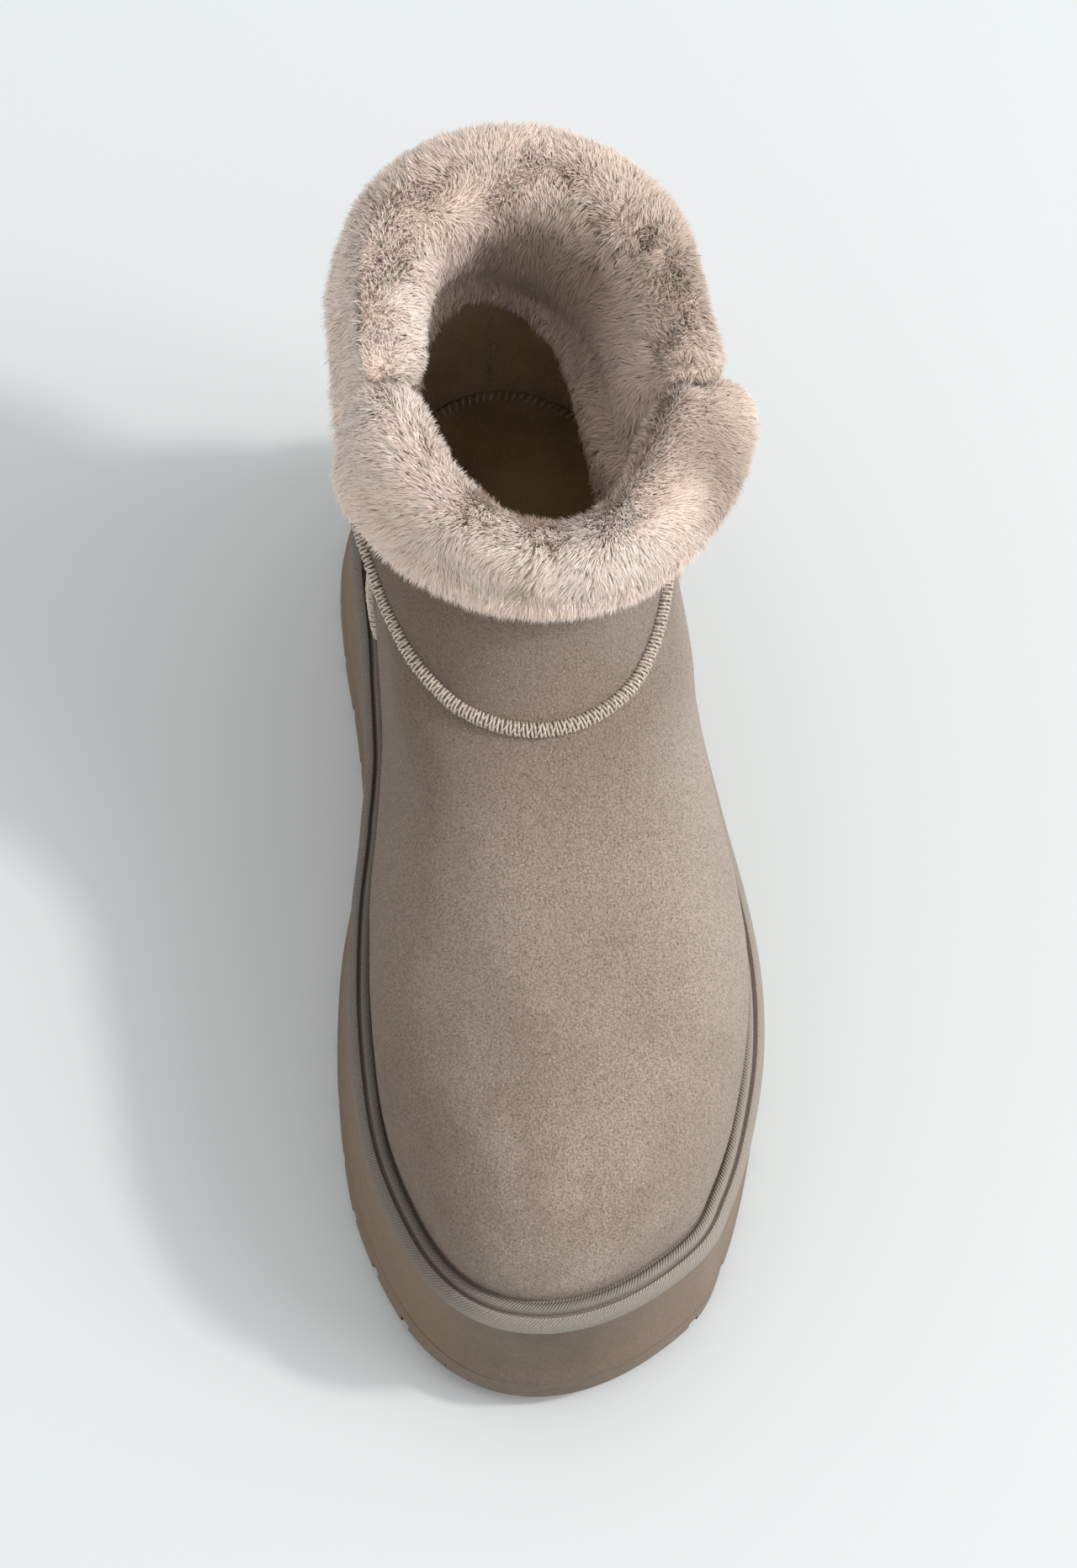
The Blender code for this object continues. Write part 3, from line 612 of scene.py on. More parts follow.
def suede_finish():
    f = Finish(
        "boot_suede", 0.92, Sheen_Weight=0.22, Sheen_Roughness=0.45, Sheen_Tint=(0.86, 0.78, 0.7),
        Specular_IOR_Level=0.18,
    )
    nap = f.noise(0.00058, 3.0, 0.75)
    specks = f.cells(0.0009)
    coarse_nap = f.noise(0.024, 2.0, 0.5, place=f.squeezed(1.0, 0.7, 1.0))
    patches = f.noise(0.03, 3.0, 0.55, distortion=0.4)
    brushed = f.noise(0.01, 3.0, 0.6, place=f.squeezed(1.0, 0.45, 0.8))
    y = f.axis(1)
    side = f.attribute("side")
    # Painted highlight: a lighter band down the vamp's left third, where light catches the nap, broken up by
    # the brushed nap
    band = f.ramp(f.math("ABSOLUTE", f.math("ADD", f.axis(0), 0.026)), 0.018, 0.002)
    band = f.times(f.times(band, f.ramp(y, 0.012, -0.02)), f.ramp(brushed, 0.4, 0.62))
    bright = f.times(f.ramp(specks, 0.34, 0.06), f.ramp(nap, 0.42, 0.62))
    tone = f.layers((0.47, 0.37, 0.303), (
        (f.ramp(patches, 0.36, 0.66), (0.6, 0.482, 0.405)),
        (f.times(f.ramp(brushed, 0.35, 0.7), 0.45), (0.63, 0.515, 0.437)),
        # The painted highlight band
        (f.times(band, 0.3), (0.66, 0.555, 0.475)),
        # Painted light: the vamp lighter towards the instep
        (f.ramp(y, -0.095, -0.035, 0.04, 0.54), (0.92, 0.78, 0.68)),
        # Painted shade: the shaft darker under the fur cuff
        (f.ramp(f.axis(2), 0.08, 0.108, 0.0, 0.66), (0.245, 0.172, 0.128)),
        (f.times(f.ramp(nap, 0.55, 0.4), 0.66), (0.255, 0.19, 0.145)),
        (f.times(bright, f.ramp(coarse_nap, 0.38, 0.62, 0.55, 1.0)), (0.78, 0.68, 0.6)),
        # Painted shade on the big-toe side and painted light on the little-toe side, by the side attribute
        (f.ramp(side, 0.1, -1.0, 0.0, 0.68), (0.178, 0.116, 0.078)),
        (f.ramp(side, 0.2, 1.0, 0.0, 0.35), (0.5, 0.425, 0.375)),
        (f.times(f.attribute("edge"), 0.45), (0.22, 0.168, 0.13)),
    ))
    coarse = f.bump(f.noise(0.0042, 3.0, 0.6), 0.0006, 0.55)
    grain = f.bump(specks, 0.0006, 0.9, coarse)
    return f.done(tone, f.ramp(nap, 0.3, 0.7, 0.97, 0.84), f.bump(nap, 0.0012, 1.0, grain))


def rubber_finish(name, dark, light, grain, depth, hatch=False):
    """Moulded foam rubber. hatch adds the fine slanting ribs of the rim."""
    f = Finish(name, 0.62, Specular_IOR_Level=0.35)
    dusty = f.noise(0.004, 4.0, 0.65)
    pebble = f.cells(grain)
    side = f.attribute("side")
    tone = f.layers(dark, (
        (f.ramp(f.noise(0.035, 3.0, 0.6), 0.35, 0.68), light),
        (f.times(f.ramp(dusty, 0.52, 0.75), 0.25), times_each(light, 1.25)),
        (f.times(f.ramp(pebble, 0.3, 0.62), 0.22), times_each(dark, 0.72)),
        # Painted light on the little-toe side
        (f.ramp(side, 0.15, 0.9, 0.0, 0.6), times_each(light, 1.55)),
    ))
    # Painted shade on the big-toe side, deeper on the rim
    left_painted_shade = (0.222, 0.152, 0.098)
    if hatch:
        left_painted_shade = (0.115, 0.088, 0.065)
        tone = f.layers(tone, [(f.ramp(f.attribute("hatch"), 0.72, 1.0, 0.0, 0.62), times_each(light, 1.75))])
    tone = f.layers(tone, [(f.ramp(side, -0.3, -0.95, 0.0, 0.7), left_painted_shade)])
    bump = f.bump(f.noise(0.012, 2.0), 0.0004, 0.35)
    if hatch:
        slant = f.node("ShaderNodeUVMap", {}, uv_map="UVMap")
        slant = f.math("ADD", f.axis(0, slant), f.times(f.axis(1, slant), 0.8))
        wave = f.times(f.math("SINE", f.times(slant, 2 * math.pi / HATCH_PITCH)), f.attribute("hatch"))
        tone = f.layers(tone, (
            (f.ramp(wave, 0.1, -0.9, 0.0, 0.45), times_each(dark, 0.55)),
            (f.ramp(wave, 0.2, 1.0, 0.0, 0.3), times_each(light, 1.25)),
        ))
        bump = f.bump(wave, 0.00022, 1.0, bump)
    return f.done(tone, f.ramp(dusty, 0.3, 0.7, 0.55, 0.74), f.bump(pebble, depth, 0.75, bump))


def plain_finish(f, patches, grain, tones, rough, depth, strength, fleck=None):
    """Two tones in patches, a third over them by the grain, and the grain's relief."""
    rows = [(f.ramp(patches, 0.35, 0.65), tones[1])]
    if fleck:
        rows.append((f.ramp(grain, *fleck), tones[2]))
    return f.done(f.layers(tones[0], rows), rough, f.bump(grain, depth, strength))


def thread_finish(name, dark, light):
    f = Finish(name, 0.7, Sheen_Weight=0.25, Specular_IOR_Level=0.4)
    twist = f.noise(0.0006, 2.0, 0.6)
    rough = f.ramp(twist, 0.3, 0.7, 0.6, 0.82)
    return plain_finish(f, twist, twist, (dark, light), rough, 0.00015, 0.8)


def fur_finish(name, root, middle, tip):
    """Hair whose colour goes from its root to its tip; each lock has its own tone."""
    f = Finish(name, 0.62, Specular_IOR_Level=0.25, Sheen_Weight=0.25, Sheen_Roughness=0.5)
    up, own, painted_lighting_and_tone = f.attribute("tip"), f.attribute("tone"), f.attribute("painted_lighting_and_tone")
    tone = f.layers(root, (
        (f.ramp(up, 0.05, 0.55), middle),
        (f.ramp(up, 0.45, 1.0), tip),
        (f.ramp(own, 0.45, 0.0, 0.0, 0.4), times_each(middle, 0.62)),
        (f.ramp(own, 0.6, 1.0, 0.0, 0.35), times_each(tip, 1.12)),
        (f.ramp(f.noise(0.013, 3.0), 0.58, 0.36, 0.0, 0.25), root),
        # Painted shade where the spots are positive and painted light where they are negative, with the
        # darker parting roots and some lock tone
        (f.ramp(painted_lighting_and_tone, 0.0, 1.0, 0.0, 0.85), (0.33, 0.232, 0.168)),
        (f.ramp(painted_lighting_and_tone, 0.0, -1.0, 0.0, 0.8), (0.99, 0.88, 0.8)),
    ))
    return f.done(tone, f.ramp(own, 0.0, 1.0, 0.8, 0.65))


def underfur_finish():
    f = Finish("underfur", 1.0, Sheen_Weight=0.4)
    tuft = f.noise(0.0022, 3.0, 0.6)
    tones = ((0.76, 0.59, 0.475), (0.92, 0.745, 0.63))
    return plain_finish(f, tuft, tuft, tones, f.ramp(tuft, 0.3, 0.7, 1.0, 0.85), 0.0012, 1.0)


def textile_finish():
    f = Finish("lining_textile", 0.95, Sheen_Weight=0.2)
    patches = f.noise(0.02, 3.0)
    tones = ((0.54, 0.37, 0.2), (0.66, 0.465, 0.262), (0.34, 0.225, 0.12))
    rough = f.ramp(patches, 0.3, 0.7, 1.0, 0.88)
    return plain_finish(f, patches, f.cells(0.0007), tones, rough, 0.0003, 0.7, (0.2, 0.6, 0.0, 0.35))


def insole_finish():
    f = Finish("insole_suede_fine", 0.95, Sheen_Weight=0.25)
    nap = f.noise(0.0012, 3.0, 0.65)
    tones = ((0.24, 0.152, 0.07), (0.34, 0.225, 0.108), (0.46, 0.335, 0.19))
    rough = f.ramp(nap, 0.3, 0.7, 1.0, 0.88)
    return plain_finish(f, f.noise(0.022, 3.0), nap, tones, rough, 0.0004, 0.8, (0.55, 0.75, 0.0, 0.5))


SUEDE = suede_finish()
SOLE = rubber_finish("platform_rubber", (0.144, 0.106, 0.075), (0.181, 0.136, 0.1), 0.0011, 0.00018)
RIM = rubber_finish("rim_rubber_fine", (0.275, 0.238, 0.202), (0.35, 0.305, 0.262), 0.0013, 0.0001, True)
THREAD = thread_finish("overlock_thread", (0.46, 0.38, 0.305), (0.74, 0.645, 0.545))
DARK_THREAD = thread_finish("insole_thread", (0.34, 0.27, 0.19), (0.62, 0.52, 0.4))
FUR = fur_finish("cuff_fur", (0.77, 0.605, 0.495), (0.93, 0.755, 0.64), (0.98, 0.825, 0.72))
UNDERFUR = underfur_finish()
TEXTILE = textile_finish()
INSOLE = insole_finish()


# The upper, with its worked skin outside, its edge, and the lining side inside


def make_upper():
    turns, rises = 220, 110
    t, r = np.meshgrid(full_turn(turns), SHAFT_HEIGHT * np.linspace(0, 1, rises))
    outer = skin(t, r)
    out = skin_frame(t, r)[1]
    inner = outer - out * UPPER_WALL
    rounded = outer[-1] - out[-1] * UPPER_WALL / 2 + np.array([0, 0, 0.0004])
    rows = rises * 2 + 1
    faces = grid_faces(rows, turns, ring=True)
    points = np.concatenate([outer, rounded[None], inner[::-1]])
    upper = mesh_from("upper_skin", points, faces, SUEDE, "suede")
    upper.data.materials.append(TEXTILE)
    inside = np.zeros(len(faces), np.int32)
    inside[(rises + 1) * turns:(rows - 1) * turns] = 1
    upper.data.polygons.foreach_set("material_index", inside)
    edge = np.clip(np.exp(-r / 0.0035) + 0.6 * np.exp(-r / 0.01), 0, 1)
    # side: how far the skin faces the little-toe side, for the suede's painted light on that side and painted
    # shade on the other
    side = np.clip(out[..., 0] * (0.85 + 0.55 * r / SHAFT_HEIGHT), -1, 1)
    for name, values in (("edge", edge), ("side", side)):
        vertex_values(upper, name, np.concatenate([values, values[-1:], values[::-1]]).ravel())
    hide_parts("upper")


# Seams: a roll of two turned leather edges, wrapped with thread


def beside(turn, rise, across, sideways, height):
    """Points a little to the side of places on the skin, and above it there."""
    by_turn = (skin(turn + TURN_STEP, rise) - skin(turn - TURN_STEP, rise)) / (2 * TURN_STEP)
    by_rise = (skin(turn, rise + 0.0005) - skin(turn, rise - 0.0005)) / 0.001
    tt, rr, tr = (by_turn ** 2).sum(-1), (by_rise ** 2).sum(-1), (by_turn * by_rise).sum(-1)
    at, ar = (across * by_turn).sum(-1), (across * by_rise).sum(-1)
    room = tt * rr - tr * tr
    turn = turn + sideways * (at * rr - ar * tr) / room
    rise = rise + sideways * (ar * tt - at * tr) / room
    point, out, _, _ = skin_frame(turn, rise)
    return point + out * np.asarray(height)[..., None]


def side_seam_place(share, side):
    rise = SEAM_FOOT + (SEAM_TOP - SEAM_FOOT) * share
    along = SIDE_SEAM_FOOT_ALONG + (SIDE_SEAM_HEAD_ALONG - SIDE_SEAM_FOOT_ALONG) * share
    front = front_along(rise)
    return side * np.arccos(1 - 2 * (along - front) / (1 - front)), rise


def instep_seam_place(share):
    top = SEAM_TOP - 0.0015
    reach = side_seam_place(1.0, 1)[0] - 1.35 * SEAM_WIDTH / (COLLAR_WIDTH / 2)
    share = 2 * share - 1
    rise = INSTEP_SEAM_RISE + (top - INSTEP_SEAM_RISE) * np.abs(share) ** INSTEP_SEAM_POWER
    return share * reach, rise


def make_seam(name, node, place):
    share = np.linspace(0, 1, 400)
    length = lengths_along(skin(*place(share)))
    even = np.interp(np.linspace(0, length[-1], 260), length, share)
    turn, rise = place(even)
    point, out, _, _ = skin_frame(turn, rise)
    across = unit(np.cross(out, unit(np.gradient(point, axis=0))))
    angle = np.linspace(0, math.pi, 11)
    cleft = 1 - 0.16 * np.exp(-((angle - math.pi / 2) / 0.3) ** 2)
    wide = np.append(0.37 * SEAM_WIDTH * np.cos(angle), 0.0)
    high = np.append(0.78 * SEAM_HEIGHT * np.sin(angle) ** 0.8 * cleft, -0.5 * SEAM_SEAT)
    n, k = len(turn), len(wide)
    tt, rr, ac = (np.repeat(values[:, None], k, 1) for values in (turn, rise, across))
    roll = mesh_from(name, beside(tt, rr, ac, wide, high), grid_faces(n, k), SUEDE, "suede")
    vertex_values(roll, "edge", np.zeros(n * k))
    # side, for the suede's painted shade on the big-toe side and painted light on the little-toe side
    vertex_values(roll, "side", np.sin(tt).ravel())
    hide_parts(node)
    stations = np.linspace(0, length[-1], n)

    def wraps(title, pitch, slant, radius, height):
        count = int(length[-1] / pitch)
        step = (np.arange(count) + 0.5) / count * length[-1]
        step = step + rng.uniform(-0.14, 0.14, count) * pitch
        arc = np.linspace(-0.1 * math.pi, 1.1 * math.pi, 10)
        at = np.clip(step[:, None] + (arc / math.pi - 0.5) * slant, 0, length[-1])
        tt, rr = place(np.interp(at, stations, even))
        index = np.interp(at, stations, np.arange(n))
        ac = unit(np.stack([np.interp(index, np.arange(n), across[:, c]) for c in range(3)], -1))
        wobble = 1 + rng.uniform(-0.05, 0.05, (count, 1))
        wide = 0.41 * SEAM_WIDTH * np.cos(arc) * wobble
        high = height * SEAM_HEIGHT * np.abs(np.sin(arc)) ** 0.7 * np.sign(np.sin(arc)) * wobble
        paths = beside(tt, rr, ac, wide, np.maximum(high, -0.0001))
        tubes(name + title, paths, radius, 5, THREAD, "seam_thread", skin_frame(tt, rr)[1])

    wraps("_thread", 0.00104, 0.0008, 0.00032, 0.84)
    wraps("_cross_thread", 0.00208, -0.0024, 0.00022, 0.9)


# Sole


def sole_rings(turns, outs, heights):
    turn = full_turn(turns)
    outward = sole_line(turn)[1]
    rings = []
    for out, height in zip(outs, heights):
        point = sole_line(turn, out(outward, turn))[0]
        point[:, 2] = height(point[:, 1])
        rings.append(point)
    return np.array(rings)


def toe_share(outward):
    return np.maximum(0.0, -outward[:, 1]) ** 2


def sole_edge(outward, turn):
    toe = toe_share(outward)
    across = outward[:, 0] ** 2
    side = np.where(outward[:, 0] < 0, MEDIAL_FLARE, LATERAL_FLARE) * across + LATERAL_FLARE * (1 - across)
    along = (1 - np.cos(turn)) / 2
    waist = WAIST_TUCK * np.exp(-(((along - WAIST_ALONG) / WAIST_REACH) ** 2))
    return RIM_WIDTH - RIM_LIP + side * (1 - toe) + (TOE_FLARE + RIM_LIP) * toe - waist


def rungs(first, size):
    """Quads that close a ring of points across."""
    i = np.arange(1, size // 2 - 1)
    return np.stack([first + i + 1, first + i, first + size - i, first + size - i - 1], -1)


def keep_side_for_painted_light(obj):
    """Stores how far each vertex faces the little-toe side, for the rubber's painted light on that side and
    painted shade on the other.
    """
    facing = np.zeros(len(obj.data.vertices) * 3, np.float32)
    obj.data.vertex_normals.foreach_get("vector", facing)
    vertex_values(obj, "side", facing[::3])


def slab(name, rings, finish, slot, node):
    count, turns, _ = rings.shape
    ends = rungs(0, turns)[:, ::-1], rungs((count - 1) * turns, turns)
    made = mesh_from(name, rings, np.concatenate([grid_faces(count, turns), *ends]), finish, slot)
    made.data.set_sharp_from_angle(angle=SOLE_SHARP)
    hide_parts(node)
    return made


def make_midsole():
    def foot(y):
        return floor_clearance(y) + OUTSOLE_THICKNESS

    def under_rim(y):
        return platform_top(y) - RIM_DROP - GAP

    outs, heights = [], []
    for share in np.linspace(0, 1, 14):
        lean = smooth((0, 0.3, 0.65, 1), (0, 0.55, 0.85, 1), share)
        outs.append(lambda o, t, w=float(lean): sole_edge(o, t) * (1 - w) + (RIM_WIDTH - RIM_LIP) * w)
        heights.append(lambda y, s=share: foot(y) * (1 - s) + under_rim(y) * s)
    outs.insert(0, lambda o, t: sole_edge(o, t) - 0.0005 * (1 - toe_share(o)))
    heights.insert(0, foot)
    heights[1] = lambda y: foot(y) + 0.0005
    outs += [lambda o, t: 0.0] * 2
    heights += [under_rim, platform_top]
    keep_side_for_painted_light(slab("platform", sole_rings(300, outs, heights), SOLE, "sole_rubber", "midsole"))


def lug_turns():
    """Turns that divide the edge of the sole into equal lugs."""
    turn = np.linspace(0, 2 * math.pi, 721)
    lengths = lengths_along(sole_line(turn, RIM_WIDTH)[0])
    count = round(lengths[-1] / LUG_PITCH)
    return np.interp((np.arange(count) + 0.5) * lengths[-1] / count, lengths, turn)


def make_outsole():
    """The tread layer. The grooves between its lugs are cut by boxes, as in the solid."""
    steps = (
        (-OUTSOLE_STEP, 0.0), (0.0, 0.03), (OUTSOLE_STEP, 0.12),
        (OUTSOLE_STEP, 0.78), (0.0, 0.9), (0.0, 1.0),
    )
    outs = [lambda o, t, s=s: sole_edge(o, t) + s * (1 - toe_share(o) * (s > 0)) for s, _ in steps]
    heights = [lambda y, h=h: floor_clearance(y) + OUTSOLE_THICKNESS * h for _, h in steps]
    outsole = slab("tread", sole_rings(300, outs, heights), SOLE, "sole_rubber", "outsole")
    points, faces = [], []
    box = np.array([(0, 3, 2, 1), (4, 5, 6, 7), (0, 1, 5, 4), (1, 2, 6, 5), (2, 3, 7, 6), (3, 0, 4, 7)])
    corners = ((-0.5, -0.5), (0.5, -0.5), (0.5, 0.5), (-0.5, 0.5))

    def add(centre, along, across, reach, width):
        floor = float(floor_clearance(centre[1]))
        for z in (floor - 0.01, floor + LUG_HEIGHT):
            for a, b in corners:
                place = centre + along * reach * a + across * width * b
                points.append((place[0], place[1], z))
        faces.extend(box + len(points) - 8)

    for turn in lug_turns():
        point, outward = sole_line([turn], RIM_WIDTH + TOE_FLARE)
        point, outward = point[0], outward[0]
        ahead = np.array([-outward[1], outward[0], 0])
        hidden = (TOE_FLARE + 0.0014) * float(toe_share(outward[None])[0])
        add(point - outward * (LUG_REACH / 2 + hidden), outward, ahead, LUG_REACH + TOE_FLARE, LUG_GAP)
    bars = int(BARS_SPAN * LAST_LENGTH / (2 * LUG_PITCH))
    for i in range(bars):
        along = BARS_FROM + BARS_SPAN * i / (bars - 1)
        centre = np.array([float(centre_x(along)), TOE_Y + along * LAST_LENGTH, 0])
        reach = CENTRE_BAR_REACH * float(half_width(along, -1)) / (BALL_WIDTH / 2)
        add(centre, np.array([1.0, 0, 0]), np.array([0, 1.0, 0]), reach, LUG_GAP)
    cutter = mesh_from("tread_grooves", points, faces, None, smooth_faces=False)
    cut = outsole.modifiers.new("cut", "BOOLEAN")
    cut.object = cutter
    cut.solver = "EXACT"
    ready = outsole.evaluated_get(bpy.context.evaluated_depsgraph_get())
    settled = bpy.data.meshes.new_from_object(ready)
    outsole.modifiers.clear()
    outsole.data = settled
    bpy.data.objects.remove(cutter)
    outsole.data.set_sharp_from_angle(angle=SOLE_SHARP)
    keep_side_for_painted_light(outsole)


def make_rim():
    half, wide, band, drop = BEAD_WIDTH / 2, RIM_WIDTH, BAND_HEIGHT, RIM_DROP
    groove, bead = RIM_GAP + BEAD_WIDTH, BEAD_HEIGHT - BEAD_WIDTH / 2
    # outward distance, height, share of the hatch
    section = [(RIM_GAP, GAP - drop, 0), (-0.001, 0.5 * BEAD_HEIGHT, 0.2)]
    for a in np.linspace(0, 0.82 * math.pi, 10):
        section.append((RIM_GAP + half - half * math.cos(a), bead + half * math.sin(a), 0.7))
    section += [
        (groove, bead - 0.85 * GROOVE_DEPTH, 0), (groove + 0.05 * wide, bead - 0.95 * GROOVE_DEPTH, 0),
        (groove + 0.1 * wide, 0.72 * band, 0.6), (groove + 0.16 * wide, band, 1),
        (groove + 0.26 * wide, 0.86 * band, 1), (wide - 0.0011, 0.52 * band, 1),
        (wide - 0.0004, 0.05 * band, 1), (wide, -0.16 * drop, 1), (wide, -0.45 * drop, 1),
        (wide, -0.78 * drop, 1), (wide - 0.0002, -0.88 * drop, 0.3), (wide - RIM_LIP / 2, GAP - drop, 0),
    ]
    size = len(section)
    turns = 480
    turn = full_turn(turns)
    arc = lengths_along(sole_line(turn, 0.004)[0])
    arc = arc * round(arc[-1] / HATCH_PITCH) * HATCH_PITCH / arc[-1]
    points = np.zeros((turns, size, 3))
    for k, (out, height, _) in enumerate(section):
        p = sole_line(turn, out)[0]
        p[:, 2] = platform_top(p[:, 1]) + height
        points[:, k] = p
    faces = grid_faces(turns, size, ring=True)
    rim = mesh_from("rim", points, faces, RIM, "rim_rubber")
    vertex_values(rim, "hatch", np.tile([s[2] for s in section], turns))
    across = lengths_along([s[:2] for s in section])
    loops = np.zeros(len(rim.data.loops), np.int32)
    rim.data.loops.foreach_get("vertex_index", loops)
    uv = np.stack([arc[loops // size], across[loops % size]], -1)
    wraps = np.arange(len(loops)) >= (len(faces) - size) * 4
    uv[wraps & (loops // size == 0), 0] = arc[-1] + (arc[1] - arc[0])
    layer = rim.data.uv_layers.new(name="UVMap")
    layer.data.foreach_set("uv", uv.astype(np.float32).ravel())
    rim.data.set_sharp_from_angle(angle=math.radians(50))
    # side, for the rim's painted light on the little-toe side and painted shade on the big-toe side
    vertex_values(rim, "side", np.repeat(sole_line(turn)[1][:, 0], size))
    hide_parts("welt_rim")


def make_insole():
    inset = -UPPER_WALL - GAP - FACET_ROOM
    thick = INSOLE_THICKNESS
    # further in, share of the thickness
    steps = ((0, 0), (0, 0.55), (-0.0004, 0.8), (-0.0014, 0.94), (-0.003, 1.0))
    outs = [lambda o, t, more=more: inset + more for more, _ in steps]
    heights = [lambda y, share=share: platform_top(y) + GAP + thick * share for _, share in steps]
    slab("footbed", sole_rings(260, outs, heights), INSOLE, "insole_suede", "insole")
    turn = np.linspace(0, 2 * math.pi, 1200)
    length = lengths_along(sole_line(turn, inset - 0.0014)[0])
    count = int(length[-1] / 0.0021)
    step = (np.arange(count) + 0.5) / count * length[-1]
    reach = np.linspace(0, 1, 7)
    at_turn = np.interp(step[:, None] + reach[None] * 0.0011, length, turn)
    paths = sole_line(at_turn, inset - 0.0001 - 0.0033 * reach)[0]
    lift = thick * (0.78 + 0.26 * np.sin(reach * math.pi / 2) ** 0.6)
    paths[..., 2] = platform_top(paths[..., 1]) + GAP + lift
    tubes("footbed_overlock", paths, 0.00036, 5, DARK_THREAD, "insole_suede")


# Fur


def cuff_section(drop, lining):
    """The cuff's section, as outward distances and heights."""
    wall = -LINING_SIDE
    section = [(CUFF_ROOM, -0.92 * drop)]
    for start, reach, tall, shares in (
        (0, FUR_OUT, drop, ((0.42, -1), (0.8, -0.88), (0.98, -0.6), (1.0, -0.28))),
        (0, FUR_OUT, FUR_CROWN, ((0.95, 0.12), (0.76, 0.58), (0.42, 0.9), (0.02, 1.0))),
        (wall, -FUR_IN, FUR_CROWN, ((0.35, 0.86), (0.78, 0.46))),
        (wall, -FUR_IN, lining, ((1.0, -0.14), (0.88, -0.42), (0.6, -0.68), (0.38, -0.97))),
        (wall, 0, lining, ((0, -1), (0, -0.66), (0, -0.33))),
    ):
        section += [(start + reach * out, tall * height) for out, height in shares]
    return section + [(wall, GAP), (CUFF_ROOM, GAP), (CUFF_ROOM, -0.3 * drop), (CUFF_ROOM, -0.62 * drop)]


def cuff_point(turn, out, height, lap):
    """Points out of and over the shaft's top edge; below it, they follow the shaft's side."""
    turn = turn + lap * np.clip(out / FUR_OUT, 0.0, 1.2)
    thin = 1 - FRONT_THINNING * np.maximum(0.0, np.cos(turn))
    out = np.where(out > CUFF_ROOM, CUFF_ROOM + (out - CUFF_ROOM) * thin, out)
    point, outward, _, _ = bare_frame(turn, SHAFT_HEIGHT + np.minimum(height, 0.0))
    level = unit(outward * np.array([1.0, 1.0, 0.0]))
    close = np.clip(out, -LINING_SIDE, CUFF_ROOM)
    up = np.stack([0 * height, 0 * height, np.maximum(height, 0.0)], -1)
    return point + outward * close[..., None] + level * (out - close)[..., None] + up


class Cuff:
    """One length of the fur cuff, as a surface over share (along it) and place (round its section)."""

    def __init__(self, first_turn, last_turn, lap, depth_share, inside_share):
        self.first, self.last, self.lap = first_turn, last_turn, lap
        self.depth_share, self.inside_share = depth_share, inside_share

    def surface(self, share, place):
        share, place = paired(share, place)
        turn = self.first + (self.last - self.first) * share
        from_end = np.minimum(share, 1 - share) * 2
        rounding = np.sqrt(np.maximum(0, 1 - (1 - np.minimum(1, from_end / END_SHARE)) ** 2))
        full = END_FULLNESS + (1 - END_FULLNESS) * rounding
        medial_end = np.where(np.abs(turn - math.pi) < math.pi, turn > math.pi, turn < 0)
        slope = np.clip(from_end / MEDIAL_END_SHARE, 0, 1)
        flank = np.where(medial_end, full * (1 - MEDIAL_END_CUT * (1 - slope) ** 1.5), full)
        wing = WING_OUT * np.exp(-(((from_end - 0.2) / 0.2) ** 2))
        if self.lap < 0:
            wing = wing * -TUCK_SHARE * np.where(turn > math.pi, MEDIAL_TUCK_SHARE, 1.0)
        else:
            wing = wing * np.where(turn < 0, MEDIAL_WING_SHARE, 1.0)
        facing = np.maximum(0.0, np.cos(turn))
        drop = FUR_DROP * (1 - FRONT_LIFT * facing)
        lining = FUR_LINING_DROP * (1 - LINING_LIFT * facing)
        outs, highs = [], []
        for out, height in cuff_section(drop, lining):
            if out > 0:
                outs.append(CUFF_ROOM + (out - CUFF_ROOM) * flank + wing * out / FUR_OUT)
            else:
                outs.append((out + LINING_SIDE) * full - LINING_SIDE)
            height = height + 0 * turn
            highs.append(np.where(height > GAP, height * full, height))
        first = np.floor(place).astype(int)
        f = place - first
        pick = np.indices(place.shape)

        def blend(values):
            """The smooth closed curve through the section's points."""
            p0, p1, p2, p3 = (np.array(values)[((first + k) % len(values), *pick)] for k in (-1, 0, 1, 2))
            return 0.5 * (
                2 * p1 + (p2 - p0) * f + (2 * p0 - 5 * p1 + 4 * p2 - p3) * f ** 2
                + (3 * p1 - p0 - 3 * p2 + p3) * f ** 3
            )

        out, high = blend(outs), blend(highs)
        grown = np.where(out > CUFF_ROOM, CUFF_ROOM + (out - CUFF_ROOM) * self.depth_share, out)
        grown = np.where(out < -LINING_SIDE, -LINING_SIDE + (out + LINING_SIDE) * self.inside_share, grown)
        tall = np.where(high > GAP, GAP + (high - GAP) * self.depth_share, high)
        return cuff_point(turn, grown, tall, self.lap * (2 * share - 1))


def cuff_frame(cuff, share, place):
    """Surface points with their outward direction, the direction along the cuff, and round its section."""
    after, before = np.minimum(share + 0.004, 1), np.maximum(share - 0.004, 0)
    along = unit(cuff.surface(after, place) - cuff.surface(before, place))
    around = unit(cuff.surface(share, place + 0.12) - cuff.surface(share, place - 0.12))
    return cuff.surface(share, place), unit(np.cross(along, around)), along, around


